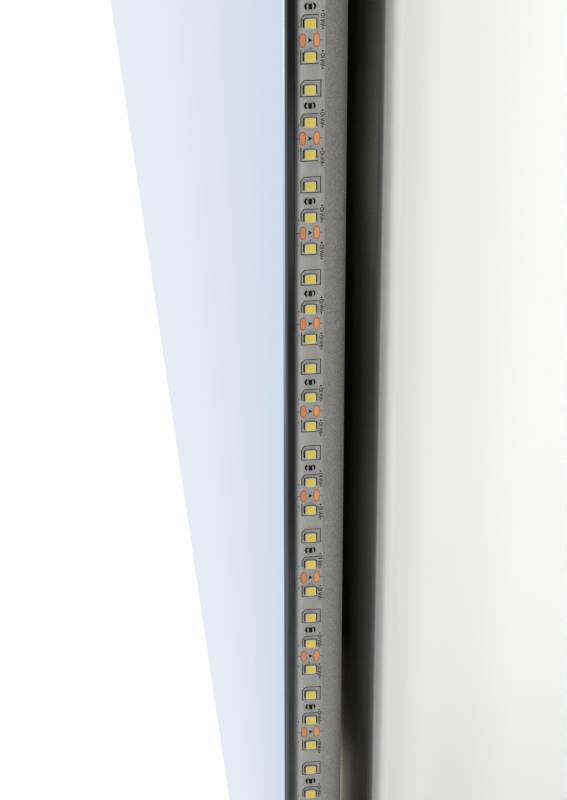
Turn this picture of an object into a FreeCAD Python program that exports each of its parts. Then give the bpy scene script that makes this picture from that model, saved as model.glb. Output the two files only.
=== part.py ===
import math
import os
from types import SimpleNamespace

import FreeCAD
import Part
import Sketcher

# A wall-hung bathroom mirror with light tape round its edge.
# Millimetres. X runs along the width, -Y faces the room, +Z is up.
# The origin lies on the wall, at the middle of the wall rail's screw holes.

DIMENSIONS = [
    # the glass and what is stuck to it
    ("mirror_width", 1200.0),
    ("mirror_height", 800.0),
    ("glass_thick", 3.0),
    ("glass_arris", 0.4),
    ("film_thick", 0.2),
    ("film_border", 2.0),
    ("bond_thick", 0.3),
    ("bond_width", 20.0),
    ("glass_overhang", 5.0),
    # the aluminium frame that carries the light tape on its outer face
    ("frame_depth", 12.2),
    ("flange_width", 24.0),
    ("flange_thick", 1.5),
    ("wall_thick", 1.9),
    ("tape_step", 0.3),
    ("plain_band", 5.1),
    ("key_leg", 16.0),
    ("key_width", 8.0),
    # the dark standoff rails between the frame and the wall
    ("standoff_depth", 10.3),
    ("standoff_inset", 12.5),
    ("standoff_flange", 20.0),
    ("sheet_thick", 1.2),
    ("felt_thick", 1.0),
    ("felt_long", 20.0),
    # the light tape
    ("tape_width", 7.0),
    ("tape_thick", 0.25),
    ("tape_cut", 25.0),
    ("tape_end_gap", 7.5),
    ("tape_edge_gap", 0.05),
    ("chip_long", 2.8),
    ("chip_wide", 3.5),
    ("chip_tall", 0.8),
    ("resistor_long", 1.25),
    ("resistor_wide", 2.1),
    ("resistor_tall", 0.5),
    ("pad_offset", 1.75),
    ("tail_radius", 0.5),
    ("tail_height", 1.65),
    # the rail on the wall and the rail of the mirror that hooks over it
    ("hang_drop", 300.0),
    ("wall_rail_length", 900.0),
    ("hole_radius", 2.75),
    ("outer_hole_span", 800.0),
    ("inner_hole_span", 300.0),
    ("rail_low", 12.0),
    ("rail_base_tall", 26.0),
    ("rail_thick", 1.8),
    ("hook_room", 3.3),
    ("hook_lip", 1.5),
    ("hook_tall", 12.0),
    ("hook_play", 0.05),
    ("hanger_tall", 41.0),
    ("hanger_room", 3.3),
    ("bar_drop", 230.0),
    ("bar_tall", 40.0),
    ("bumper_radius", 9.0),
    ("bumper_reach", 450.0),
    # the driver and the terminal box behind the glass
    ("cushion", 1.0),
    ("box_deep", 18.0),
    ("box_wall", 1.6),
    ("lid_thick", 1.6),
    ("driver_long", 190.0),
    ("driver_tall", 60.0),
    ("driver_left", -345.0),
    ("terminal_long", 80.0),
    ("terminal_tall", 60.0),
    ("terminal_left", -95.0),
    ("box_level", -150.0),
    ("lead_radius", 1.75),
    ("lead_bend", 22.0),
    ("lead_level", -16.2),
    ("lead_rise", -540.0),
    ("feed_level", 70.0),
    ("bore_play", 0.05),
]

doc = FreeCAD.newDocument("lighted_mirror")
sheet = doc.addObject("Spreadsheet::Sheet", "Dim")
for row, (alias, millimetres) in enumerate(DIMENSIONS, start=1):
    sheet.set("A%d" % row, alias)
    sheet.set("B%d" % row, str(millimetres))
    sheet.setAlias("B%d" % row, alias)
doc.recompute()


class Size:
    """A length and the formula that ties it to the sheet. Sums of sizes keep both."""

    def __init__(self, formula, value):
        self.formula = formula
        self.value = value

    def __add__(self, other):
        other = as_size(other)
        return Size("(%s + %s)" % (self.formula, other.formula), self.value + other.value)

    def __radd__(self, other):
        return as_size(other) + self

    def __sub__(self, other):
        other = as_size(other)
        return Size("(%s - %s)" % (self.formula, other.formula), self.value - other.value)

    def __rsub__(self, other):
        return as_size(other) - self

    def __mul__(self, factor):
        return Size("(%s * %s)" % (self.formula, factor), self.value * factor)

    def __neg__(self):
        return Size("(0 - %s)" % self.formula, -self.value)


def as_size(length):
    if isinstance(length, Size):
        return length
    return Size("(%s)" % length, float(length))


d = SimpleNamespace(**{alias: Size("Dim." + alias, mm) for alias, mm in DIMENSIONS})
n = SimpleNamespace(**dict(DIMENSIONS))

# Planes across the depth, from the wall to the room.
STANDOFF_BACK = -d.felt_thick
FRAME_BACK = -d.standoff_depth
FRAME_FRONT = FRAME_BACK - d.frame_depth
FILM_BACK = FRAME_FRONT - d.bond_thick
GLASS_BACK = FILM_BACK - d.film_thick
BOX_FRONT = FILM_BACK + d.cushion
TAPE_MIDDLE = FRAME_FRONT + d.tape_width * 0.5 + d.tape_edge_gap

# The mirror's middle, its frame's outer faces and its four sides.
MIDDLE = -d.hang_drop
FRAME_WIDTH = d.mirror_width - d.glass_overhang * 2
FRAME_HEIGHT = d.mirror_height - d.glass_overhang * 2
SIDES = {
    "top": (0, FRAME_WIDTH),
    "right": (90, FRAME_HEIGHT),
    "bottom": (180, FRAME_WIDTH),
    "left": (270, FRAME_HEIGHT),
}
Y_AXIS = FreeCAD.Vector(0, 1, 0)
Z_AXIS = FreeCAD.Vector(0, 0, 1)
HALF_ROOT = math.sqrt(0.5)

pieces = []


def keep(thing, label):
    """Marks a finished piece: its label names its file."""
    thing.Label = label
    pieces.append(thing)
    return thing


def bind(thing, **sizes):
    """Ties properties to the sheet; a double underline stands for a dot."""
    for name, length in sizes.items():
        thing.setExpression(name.replace("__", "."), as_size(length).formula)


def place(thing, x, y, z):
    bind(thing, Placement__Base__x=x, Placement__Base__y=y, Placement__Base__z=z)
    return thing


def block(name, long, deep, tall, x, y, z):
    """A block with its lowest corner at x, y, z."""
    box = doc.addObject("Part::Box", name)
    bind(box, Length=long, Width=deep, Height=tall)
    return place(box, x, y, z)


def rod(name, radius, length, x, y, z, along="y"):
    """A round rod that starts at x, y, z and runs along one axis."""
    turns = {
        "x": FreeCAD.Rotation(Y_AXIS, 90),
        "y": FreeCAD.Rotation(FreeCAD.Vector(1, 0, 0), -90),
        "z": FreeCAD.Rotation(),
    }
    cylinder = doc.addObject("Part::Cylinder", name)
    bind(cylinder, Radius=radius, Height=length)
    cylinder.Placement = FreeCAD.Placement(FreeCAD.Vector(), turns[along])
    return place(cylinder, x, y, z)


def joined(name, parts):
    fuse = doc.addObject("Part::MultiFuse", name)
    fuse.Shapes = parts
    return fuse


def group(name, parts):
    """Several separate solids that share one node."""
    compound = doc.addObject("Part::Compound", name)
    compound.Links = parts
    return compound


def carved(name, base, tools):
    """The base with the tools taken away; each cut has to remove something."""
    cut = doc.addObject("Part::Cut", name)
    cut.Base = base
    cut.Tool = tools[0] if len(tools) == 1 else group(name + "_tools", tools)
    doc.recompute()
    if cut.Shape.Volume > base.Shape.Volume - 0.01:
        raise RuntimeError("nothing is cut from " + name)
    return cut


def origin_plane(body, role):
    for feature in body.Origin.OriginFeatures:
        if feature.Role == role:
            return feature
    raise RuntimeError("no plane " + role)


def outline(body, name, role, start, moves):
    """A closed outline of level and upright lines; the last two lines close it."""
    sketch = body.newObject("Sketcher::SketchObject", name)
    sketch.AttachmentSupport = [(origin_plane(body, role), "")]
    sketch.MapMode = "FlatFace"
    first = [as_size(start[0]), as_size(start[1])]
    corners = [(first[0].value, first[1].value)]
    for axis, length in moves:
        across, up = corners[-1]
        step = as_size(length).value
        corners.append((across + step, up) if axis == "x" else (across, up + step))
    if moves[-1][0] == "x":
        corners.append((corners[-1][0], corners[0][1]))
    else:
        corners.append((corners[0][0], corners[-1][1]))
    count = len(corners)
    for index, corner in enumerate(corners):
        low = FreeCAD.Vector(corner[0], corner[1], 0)
        high = FreeCAD.Vector(*corners[(index + 1) % count], 0)
        sketch.addGeometry(Part.LineSegment(low, high), False)
    for index, corner in enumerate(corners):
        following = (index + 1) % count
        level = abs(corner[1] - corners[following][1]) < 1e-9
        sketch.addConstraint(Sketcher.Constraint("Coincident", index, 2, following, 1))
        sketch.addConstraint(Sketcher.Constraint("Horizontal" if level else "Vertical", index))
    for kind, length, axis in (("DistanceX", first[0], -2), ("DistanceY", first[1], -1)):
        if abs(length.value) < 1e-9:
            sketch.addConstraint(Sketcher.Constraint("PointOnObject", 0, 1, axis))
            continue
        ends = (-1, 1, 0, 1) if length.value > 0 else (0, 1, -1, 1)
        number = sketch.addConstraint(Sketcher.Constraint(kind, *ends, abs(length.value)))
        positive = length if length.value > 0 else -length
        sketch.setExpression("Constraints[%d]" % number, positive.formula)
    for index, (axis, length) in enumerate(moves):
        length = as_size(length)
        positive = length if length.value > 0 else -length
        number = sketch.addConstraint(Sketcher.Constraint("Distance", index, positive.value))
        sketch.setExpression("Constraints[%d]" % number, positive.formula)
    return sketch


def padded(name, role, start, moves, length):
    """A body whose outline is padded evenly to both sides of its plane."""
    body = doc.addObject("PartDesign::Body", name)
    sketch = outline(body, name + "_outline", role, start, moves)
    pad = body.newObject("PartDesign::Pad", name + "_pad")
    pad.Profile = sketch
    pad.Midplane = True
    bind(pad, Length=length)
    sketch.Visibility = False
    doc.recompute()
    return body


KNIFE_SPARE = 5
KNIFE_DEEP = 120


def mitred(name, side, start, moves, span, reach, face, back):
    """One of four bars round the mirror, cut at 45 degrees where they meet.

    The bar lies along its own X with its outer face up; face is how far that face
    stands from the mirror's middle, and back is the plane of the outline's own zero.
    """
    bar = padded(name + "_bar", "YZ_Plane", start, moves, span)
    slant = reach * 1.5 + KNIFE_SPARE
    knives = []
    for end, turn in ((1, 0), (-1, 180)):
        knife = block(name + "_mitre%d" % turn, slant * 2, KNIFE_DEEP, slant * 2, 0, 0, 0)
        spin = FreeCAD.Rotation(Z_AXIS, turn).multiply(FreeCAD.Rotation(Y_AXIS, 45))
        knife.Placement = FreeCAD.Placement(FreeCAD.Vector(), spin)
        place(knife, (span * 0.5 - slant * HALF_ROOT) * end, -KNIFE_DEEP / 2 * end, -slant * HALF_ROOT)
        knives.append(knife)
    cut = carved(name, bar, knives)
    spin = FreeCAD.Rotation(Y_AXIS, SIDES[side][0])
    cut.Placement = FreeCAD.Placement(FreeCAD.Vector(), spin)
    out = spin.multVec(Z_AXIS)
    place(cut, face * round(out.x), back, MIDDLE + face * round(out.z))
    return cut


def half_span(side):
    """How far the frame's outer face on this side stands from the mirror's middle."""
    return (FRAME_WIDTH if side in ("left", "right") else FRAME_HEIGHT) * 0.5


def on_side(side, along, out, y):
    """A point by its place along a side, its height over the frame's outer face and y."""
    spin = FreeCAD.Rotation(Y_AXIS, SIDES[side][0])
    point = spin.multVec(FreeCAD.Vector(along, 0, half_span(side).value + out))
    return FreeCAD.Vector(point.x, y, point.z + MIDDLE.value)


def finished(name, shape):
    """Holds a shape that is made straight from curves or in long rows."""
    feature = doc.addObject("Part::Feature", name)
    feature.Shape = shape
    return feature


def lead_shape(points, radius, bend):
    """A round lead: straight runs joined by tangent arcs of one bend radius."""
    points = [FreeCAD.Vector(*point) for point in points]
    edges = []
    here = points[0]
    for before, corner, after in zip(points, points[1:], points[2:]):
        back = (before - corner).normalize()
        ahead = (after - corner).normalize()
        half = back.getAngle(ahead) / 2
        trim = bend / math.tan(half)
        begin = corner + back * trim
        end = corner + ahead * trim
        centre = corner + (back + ahead).normalize() * (bend / math.sin(half))
        middle = centre + (corner - centre).normalize() * bend
        edges.append(Part.LineSegment(here, begin).toShape())
        edges.append(Part.Arc(begin, middle, end).toShape())
        here = end
    edges.append(Part.LineSegment(here, points[-1]).toShape())
    path = Part.Wire(edges)
    ring = Part.Wire([Part.makeCircle(radius, points[0], points[1] - points[0])])
    tube = path.makePipeShell([ring], True, False)
    expected = math.pi * radius ** 2 * path.Length
    if abs(tube.Volume - expected) > 0.01 * expected:
        raise RuntimeError("a lead's volume is off: %.1f for %.1f" % (tube.Volume, expected))
    return tube


# --- The glass, its safety film and the strips that bond the frame to it ---

glass = doc.addObject("PartDesign::Body", "glass_sheet")
glass_sketch = outline(
    glass,
    "glass_outline",
    "XZ_Plane",
    (-d.mirror_width * 0.5, -d.mirror_height * 0.5),
    [("x", d.mirror_width), ("y", d.mirror_height)],
)
glass_pad = glass.newObject("PartDesign::Pad", "glass_pad")
glass_pad.Profile = glass_sketch
bind(glass_pad, Length=d.glass_thick)
doc.recompute()
glass_arris = glass.newObject("PartDesign::Chamfer", "glass_arris")
glass_arris.Base = (glass_pad, ["Edge%d" % (i + 1) for i in range(len(glass_pad.Shape.Edges))])
bind(glass_arris, Size=d.glass_arris)
place(glass, 0, GLASS_BACK, MIDDLE)
keep(glass, "mirror_glass")

film = block(
    "film",
    d.mirror_width - d.film_border * 2,
    d.film_thick,
    d.mirror_height - d.film_border * 2,
    d.film_border - d.mirror_width * 0.5,
    GLASS_BACK,
    MIDDLE + d.film_border - d.mirror_height * 0.5,
)
keep(film, "safety_film")

BOND_SETBACK = 2.0
bond_parts = []
for side in SIDES:
    upright = side in ("left", "right")
    run = SIDES[side][1] - BOND_SETBACK * 2 - (d.bond_width * 2 if upright else 0)
    face = half_span(side) - BOND_SETBACK
    low = face - d.bond_width if side in ("top", "right") else -face
    if upright:
        sizes = (d.bond_width, d.bond_thick, run)
        corner = (low, FILM_BACK, MIDDLE - run * 0.5)
    else:
        sizes = (run, d.bond_thick, d.bond_width)
        corner = (-run * 0.5, FILM_BACK, MIDDLE + low)
    bond_parts.append(block("bond_" + side, *sizes, *corner))
keep(group("bond_strips", bond_parts), "glass_bond_strips")

# --- The aluminium frame: four mitred channels, open to the inside ---

# Outline of a channel, y along the depth and z inward from the outer face.
CHANNEL = [
    ("y", -d.flange_width),
    ("x", -d.flange_thick),
    ("y", d.flange_width - d.wall_thick),
    ("x", -(d.frame_depth - d.flange_thick * 2)),
    ("y", -(d.flange_width - d.wall_thick)),
    ("x", -d.flange_thick),
    ("y", d.flange_width - d.tape_step),
    ("x", d.frame_depth - d.plain_band),
]
SCREW_SHANK = 1.5
SCREW_HEAD = 2.8
SCREW_HEAD_TALL = 1.0
SCREW_HEAD_ROUND = 0.4
CROSS_LONG = 3.2
CROSS_WIDE = 0.6
CROSS_FLOOR = 0.5
SCREW_LONG = 5.5
STANDOFF_SCREW_LONG = 4.5
RAIL_SCREW_LONG = 5.5
RAIL_SCREW_SPREAD = 12.0
KEY_SCREW_IN = 5.9
KEY_SCREW_ALONG = 13.0
STANDOFF_SCREW_IN = 19.0
STANDOFF_SCREW_ENDS = 90.0
STANDOFF_SIDE_SCREW_ENDS = 200.0
HANGER_SCREW_IN = 20.0


def key_screw_places():
    """Two screws at each corner, one in each frame bar that meets there."""
    places = []
    half_wide = FRAME_WIDTH.value / 2
    half_high = FRAME_HEIGHT.value / 2
    for right in (-1, 1):
        for up in (-1, 1):
            places.append((right * (half_wide - KEY_SCREW_ALONG), up * (half_high - KEY_SCREW_IN)))
            places.append((right * (half_wide - KEY_SCREW_IN), up * (half_high - KEY_SCREW_ALONG)))
    return places


def standoff_screw_places():
    """The screws that hold the standoff rails on the frame's rear flanges."""
    places = []
    half_wide = FRAME_WIDTH.value / 2 - STANDOFF_SCREW_IN
    half_high = FRAME_HEIGHT.value / 2 - STANDOFF_SCREW_IN
    for share in (-1, 0, 1):
        along = share * (FRAME_WIDTH.value / 2 - STANDOFF_SCREW_ENDS)
        places.append((along, half_high))
        places.append((along, -half_high))
    for share in (-1, 1):
        along = share * (FRAME_HEIGHT.value / 2 - STANDOFF_SIDE_SCREW_ENDS)
        places.append((half_wide, along))
        places.append((-half_wide, along))
    return places


def rail_screw_places():
    """Two screws at each end of the hanger rail and of the lower bar."""
    places = []
    across = FRAME_WIDTH.value / 2 - HANGER_SCREW_IN
    hanger_middle = (d.hanger_tall * 0.5 - d.rail_low).value - MIDDLE.value
    for level in (hanger_middle, -n.bar_drop):
        for right in (-1, 1):
            for up in (-1, 1):
                places.append((right * across, level + up * RAIL_SCREW_SPREAD))
    return places


def screw(spot, head_radius, long):
    """A pan-head screw with a cross slot, driven toward the room from its seat."""
    head = Part.makeCylinder(head_radius, SCREW_HEAD_TALL, spot, Y_AXIS)
    head = head.makeFillet(SCREW_HEAD_ROUND, [head.Edges[0]])
    for length, width in ((CROSS_LONG, CROSS_WIDE), (CROSS_WIDE, CROSS_LONG)):
        low = spot + FreeCAD.Vector(-length / 2, CROSS_FLOOR, -width / 2)
        head = head.cut(Part.makeBox(length, SCREW_HEAD_TALL, width, low))
    shank = Part.makeCylinder(SCREW_SHANK, long, spot, -Y_AXIS)
    return head.fuse(shank).removeSplitter()


def screw_row(name, places, seat, long):
    """Screws at places given from the mirror's middle, seated on one plane."""
    spots = [FreeCAD.Vector(across, seat, MIDDLE.value + up) for across, up in places]
    shapes = [screw(spot, SCREW_HEAD, long) for spot in spots]
    return keep(finished(name + "_row", Part.makeCompound(shapes)), name)


def drill_row(name, places, seat, deep):
    """Round cutters for a row of screws."""
    radius = d.bore_play + SCREW_SHANK
    return [
        rod("%s_drill%d" % (name, index), radius, deep, across, seat - deep, MIDDLE + up)
        for index, (across, up) in enumerate(places)
    ]


def near_side(places, side):
    """The places that fall on one side's bar, up to its mitres."""
    chosen = []
    spin = FreeCAD.Rotation(Y_AXIS, -SIDES[side][0])
    for across, up in places:
        local = spin.multVec(FreeCAD.Vector(across, 0, up))
        inward = half_span(side).value - local.z
        if 0 < inward < n.flange_width and abs(local.x) < SIDES[side][1].value / 2 - inward:
            chosen.append((across, up))
    return chosen


FLANGE_SCREWS = key_screw_places() + standoff_screw_places() + rail_screw_places()
FLANGE_DRILL_DEEP = 3.5
GROMMET_NECK = 2.7
FEED_HOLE_DEEP = 4.0
for side in SIDES:
    bar = mitred(
        "channel_" + side,
        side,
        (0, 0),
        CHANNEL,
        SIDES[side][1],
        d.flange_width,
        half_span(side),
        FRAME_BACK,
    )
    drills = drill_row("channel_" + side, near_side(FLANGE_SCREWS, side), FRAME_BACK + 1, FLANGE_DRILL_DEEP)
    if side == "left":
        hole_start = -half_span("left") - 1
        feed_hole = rod(
            "feed_hole",
            GROMMET_NECK + d.bore_play,
            FEED_HOLE_DEEP,
            hole_start,
            d.lead_level,
            d.feed_level,
            "x",
        )
        drills.append(feed_hole)
    keep(carved("frame_%s_cut" % side, bar, drills), "frame_" + side)

key_parts = []
KEY_BACK = FRAME_BACK - d.flange_thick
KEY_DEEP = d.frame_depth - d.flange_thick * 2
for right in (-1, 1):
    for up in (-1, 1):
        corner_x = FRAME_WIDTH * 0.5 - d.wall_thick
        corner_z = FRAME_HEIGHT * 0.5 - d.wall_thick
        across_x = corner_x - d.key_leg if right > 0 else -corner_x
        across_z = corner_z - d.key_width if up > 0 else -corner_z
        upright_x = corner_x - d.key_width if right > 0 else -corner_x
        upright_z = corner_z - d.key_leg if up > 0 else -corner_z
        tag = "key_%d%d" % (right + 1, up + 1)
        arm_corner = (across_x, KEY_BACK - KEY_DEEP, MIDDLE + across_z)
        leg_corner = (upright_x, KEY_BACK - KEY_DEEP, MIDDLE + upright_z)
        arm = block(tag + "_arm", d.key_leg, KEY_DEEP, d.key_width, *arm_corner)
        leg = block(tag + "_leg", d.key_width, KEY_DEEP, d.key_leg, *leg_corner)
        key_parts.append(joined(tag, [arm, leg]))
KEY_DRILL_DEEP = 6.0
key_drills = drill_row("keys", key_screw_places(), KEY_BACK + 0.5, KEY_DRILL_DEEP)
keep(carved("keys", group("key_blanks", key_parts), key_drills), "corner_keys")
screw_row("corner_key_screws", key_screw_places(), FRAME_BACK.value, SCREW_LONG)

# --- The dark standoff rails: folded angles between the frame and the wall ---

# Outline of an angle: a flange on the frame's back and a wall towards the room's wall.
ANGLE = [
    ("x", d.standoff_depth - d.felt_thick),
    ("y", -d.sheet_thick),
    ("x", -(d.standoff_depth - d.felt_thick - d.sheet_thick)),
    ("y", -(d.standoff_flange - d.sheet_thick)),
]
STANDOFF_SEAT = FRAME_BACK + d.sheet_thick
STANDOFF_DRILL_DEEP = 4.0
for side in SIDES:
    bar = mitred(
        "angle_" + side,
        side,
        (0, 0),
        ANGLE,
        SIDES[side][1] - d.standoff_inset * 2,
        d.standoff_flange,
        half_span(side) - d.standoff_inset,
        FRAME_BACK,
    )
    row = near_side(standoff_screw_places() + rail_screw_places(), side)
    drills = drill_row("angle_" + side, row, STANDOFF_SEAT + 1, STANDOFF_DRILL_DEEP)
    keep(carved("angle_%s_cut" % side, bar, drills), "standoff_" + side)
screw_row("standoff_screws", standoff_screw_places(), STANDOFF_SEAT.value, STANDOFF_SCREW_LONG)

# --- The rail on the wall and the rail that hooks over it ---

# Both are drawn in the YZ plane: y from the wall and z from the screw holes.
wall_rail = padded(
    "wall_rail_bar",
    "YZ_Plane",
    (0, -d.rail_low),
    [
        ("y", d.rail_base_tall),
        ("x", -(d.rail_thick + d.hook_room)),
        ("y", d.hook_tall),
        ("x", -d.hook_lip),
        ("y", -(d.hook_tall + d.rail_thick)),
        ("x", d.hook_room + d.hook_lip),
    ],
    d.wall_rail_length,
)
HOLE_DEEP = 6.0
HOLE_START = -4.0
holes = []
for span in (d.outer_hole_span, d.inner_hole_span):
    for right in (-0.5, 0.5):
        hole_name = "rail_hole_%d" % len(holes)
        holes.append(rod(hole_name, d.hole_radius, HOLE_DEEP, span * right, HOLE_START, 0))
keep(carved("wall_rail_cut", wall_rail, holes), "wall_rail")

HOOK_SEAT = d.rail_base_tall - d.rail_low + d.hook_play
HANGER_BACK = FRAME_BACK + d.sheet_thick
HANGER_PLAY = 0.6
HANGER_LONG = FRAME_WIDTH - (d.standoff_inset + d.sheet_thick) * 2 - HANGER_PLAY
HANGER_TOP = d.hanger_tall - d.rail_low
hanger = padded(
    "hanger_bar",
    "YZ_Plane",
    (HANGER_BACK, -d.rail_low),
    [
        ("y", d.hanger_tall),
        ("x", d.hook_lip * 2 + d.hanger_room),
        ("y", -(HANGER_TOP - HOOK_SEAT)),
        ("x", -d.hook_lip),
        ("y", HANGER_TOP - HOOK_SEAT - d.hook_lip),
        ("x", -d.hanger_room),
    ],
    HANGER_LONG,
)
hanger_seat = HANGER_BACK + d.hook_lip
hanger_rows = [spot for spot in rail_screw_places() if spot[1] > 0]
bar_rows = [spot for spot in rail_screw_places() if spot[1] < 0]
RAIL_DRILL_DEEP = 3.5
hanger_drills = drill_row("hanger", hanger_rows, hanger_seat + 1, RAIL_DRILL_DEEP)
keep(carved("hanger_cut", hanger, hanger_drills), "hanger_rail")

bar_blank = block(
    "lower_bar_blank",
    HANGER_LONG,
    d.hook_lip,
    d.bar_tall,
    -HANGER_LONG * 0.5,
    HANGER_BACK,
    MIDDLE - d.bar_drop - d.bar_tall * 0.5,
)
bar_drills = drill_row("lower_bar", bar_rows, hanger_seat + 1, RAIL_DRILL_DEEP)
keep(carved("lower_bar_cut", bar_blank, bar_drills), "lower_bar")
screw_row("rail_screws", rail_screw_places(), hanger_seat.value, RAIL_SCREW_LONG)

bumpers = []
for right in (-1, 1):
    spot = (d.bumper_reach * right, hanger_seat, MIDDLE - d.bar_drop)
    bumpers.append(rod("bumper_%d" % (right + 1), d.bumper_radius, -hanger_seat, *spot))
keep(group("bumpers", bumpers), "rubber_bumpers")

# Small felt pads keep the standoff rails' edges off the wall.
felt_parts = []
FELT_SHARES = (-0.9, 0.9)
for right in FELT_SHARES:
    for level in (-1, 1):
        felt_x = FRAME_WIDTH * 0.5 * right
        felt_z = FRAME_HEIGHT * 0.5 - d.standoff_inset
        low_z = felt_z - d.sheet_thick if level > 0 else -felt_z
        felt_parts.append(
            block(
                "felt_%d" % len(felt_parts),
                d.felt_long,
                d.felt_thick,
                d.sheet_thick,
                felt_x - d.felt_long * 0.5,
                STANDOFF_BACK,
                MIDDLE + low_z,
            )
        )
keep(group("felts", felt_parts), "wall_felts")

# --- The light tape: four strips with their chips and resistors ---

TAPE_TOP = d.tape_thick - d.tape_step


def cuts_fitting(side):
    """How many 25 mm stretches there is room for on a side."""
    return int((SIDES[side][1].value - 2 * n.tape_end_gap) // n.tape_cut)


def cuts_on(side):
    """How many of them its tape has: one less on the left, where the feed comes in."""
    return cuts_fitting(side) - (side == "left")


def tape_start(side):
    """Where a side's tape begins along the side, going clockwise round the front."""
    return -cuts_fitting(side) * n.tape_cut / 2


def side_row(side, along_places, wide, long, tall, out, name):
    """A row of equal small blocks on a side, across the tape's middle line."""
    spin = FreeCAD.Rotation(Y_AXIS, SIDES[side][0])
    shapes = []
    for along in along_places:
        shape = Part.makeBox(long, wide, tall, FreeCAD.Vector(-long / 2, -wide / 2, 0))
        shape.Placement = FreeCAD.Placement(on_side(side, along, out, TAPE_MIDDLE.value), spin)
        shapes.append(shape)
    return finished(name, Part.makeCompound(shapes))


resistor_rows = []
for side in SIDES:
    count = cuts_on(side)
    start = tape_start(side)
    third = n.tape_cut / 3
    spin = FreeCAD.Rotation(Y_AXIS, SIDES[side][0])
    tape = doc.addObject("Part::Box", "tape_" + side)
    bind(tape, Length=d.tape_cut * count, Width=d.tape_width, Height=d.tape_thick)
    corner = on_side(side, start, -n.tape_step, TAPE_MIDDLE.value - n.tape_width / 2)
    tape.Placement = FreeCAD.Placement(corner, spin)
    keep(tape, "led_tape_" + side)
    chip_places = [start + third * (step + 0.5) for step in range(3 * count)]
    chips = side_row(
        side, chip_places, n.chip_wide, n.chip_long, n.chip_tall, TAPE_TOP.value, "chips_" + side
    )
    keep(chips, "led_chips_" + side)
    resistor_places = [start + n.tape_cut * step + third * 2 for step in range(count)]
    resistor_rows.append(
        side_row(
            side,
            resistor_places,
            n.resistor_wide,
            n.resistor_long,
            n.resistor_tall,
            TAPE_TOP.value,
            "resistors_" + side,
        )
    )
keep(group("resistor_rows", resistor_rows), "tape_resistors")

# Short wires carry the current round three corners; the fourth takes the feed.
CORNERS = (("top", "right"), ("right", "bottom"), ("bottom", "left"))
JUMPER_IN = 9.1
JUMPER_BEND = 3.6
JOINT_IN = 0.6
JOINT_FROM_END = 1.0
JOINT_RADII = (0.85, 0.35)
JOINT_TALL = n.tail_height - TAPE_TOP.value - n.tail_radius
jumpers = []
joints = []
pad_lines = (TAPE_MIDDLE.value - n.pad_offset, TAPE_MIDDLE.value + n.pad_offset)
for first, second in CORNERS:
    for line in pad_lines:
        begin = on_side(first, SIDES[first][1].value / 2 - JUMPER_IN, n.tail_height, line)
        turn = on_side(first, SIDES[first][1].value / 2 + n.tail_height, n.tail_height, line)
        finish = on_side(second, JUMPER_IN - SIDES[second][1].value / 2, n.tail_height, line)
        jumpers.append(lead_shape([begin, turn, finish], n.tail_radius, JUMPER_BEND))
        for side, end in ((first, 1), (second, -1)):
            along = end * (SIDES[side][1].value / 2 - JUMPER_IN + JOINT_IN)
            foot = on_side(side, along, TAPE_TOP.value, line)
            out = FreeCAD.Rotation(Y_AXIS, SIDES[side][0]).multVec(Z_AXIS)
            joints.append(Part.makeCone(*JOINT_RADII, JOINT_TALL, foot, out))
keep(finished("jumpers", Part.makeCompound(jumpers)), "corner_jumper_wires")

# --- The driver and the terminal box ---


GLAND_HOLE = 3.0
INLET_HOLE = 6.0
WALL_DRILL_DEEP = 8.0


def wall_drill(name, radius, end, level):
    """A round cutter through a box's end wall."""
    start = end - WALL_DRILL_DEEP / 2
    return rod(name, radius + d.bore_play, WALL_DRILL_DEEP, start, level, d.box_level, "x")


def tray(name, left, long, tall, lead_ends):
    """An open box with lead holes in its ends; its mouth faces the wall."""
    low_z = d.box_level - tall * 0.5
    deep = d.box_deep - d.lid_thick
    blank = block(name + "_blank", long, deep, tall, left, BOX_FRONT, low_z)
    hollow = block(
        name + "_hollow",
        long - d.box_wall * 2,
        deep,
        tall - d.box_wall * 2,
        left + d.box_wall,
        BOX_FRONT + d.box_wall,
        low_z + d.box_wall,
    )
    cutters = [hollow]
    for index, end in enumerate(lead_ends):
        cutters.append(wall_drill("%s_end%d" % (name, index), GLAND_HOLE, end, d.lead_level))
    return carved(name, blank, cutters)


LID_DRILL_DEEP = 6.0
LID_DRILL_START = 4.0


def lid(name, left, long, tall, screw_spots):
    corner = (left, BOX_FRONT + d.box_deep - d.lid_thick, d.box_level - tall * 0.5)
    plate = block(name + "_plate", long, d.lid_thick, tall, *corner)
    start = BOX_FRONT + d.box_deep - LID_DRILL_START
    drills = [
        rod("%s_drill%d" % (name, index), SCREW_SHANK + d.bore_play, LID_DRILL_DEEP, across, start, up)
        for index, (across, up) in enumerate(screw_spots)
    ]
    return carved(name, plate, drills)


POST_RADIUS = 3.6
POST_HOLE_DEEP = 8.0


def posts(name, spots):
    """Screw posts in a tray's corners."""
    shapes = []
    for across, up in spots:
        foot = FreeCAD.Vector(across, BOX_FRONT.value + n.box_wall, up)
        tall = n.box_deep - n.lid_thick - n.box_wall
        post = Part.makeCylinder(POST_RADIUS, tall, foot, Y_AXIS)
        mouth = foot + Y_AXIS * (tall - POST_HOLE_DEEP)
        hole = Part.makeCylinder(SCREW_SHANK + n.bore_play, POST_HOLE_DEEP, mouth, Y_AXIS)
        shapes.append(post.cut(hole))
    return finished(name, Part.makeCompound(shapes))


def corner_spots(left, long, tall, inset):
    return [
        (left + across, n.box_level + up)
        for across in (inset, long - inset)
        for up in (-(tall / 2 - inset), tall / 2 - inset)
    ]


LID_SCREW_HEAD = 2.6
LID_SCREW_LONG = 7.0


def lid_screws(name, spots):
    seats = [FreeCAD.Vector(across, BOX_FRONT.value + n.box_deep, up) for across, up in spots]
    shapes = [screw(seat, LID_SCREW_HEAD, LID_SCREW_LONG) for seat in seats]
    return keep(finished(name + "_row", Part.makeCompound(shapes)), name)


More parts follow.
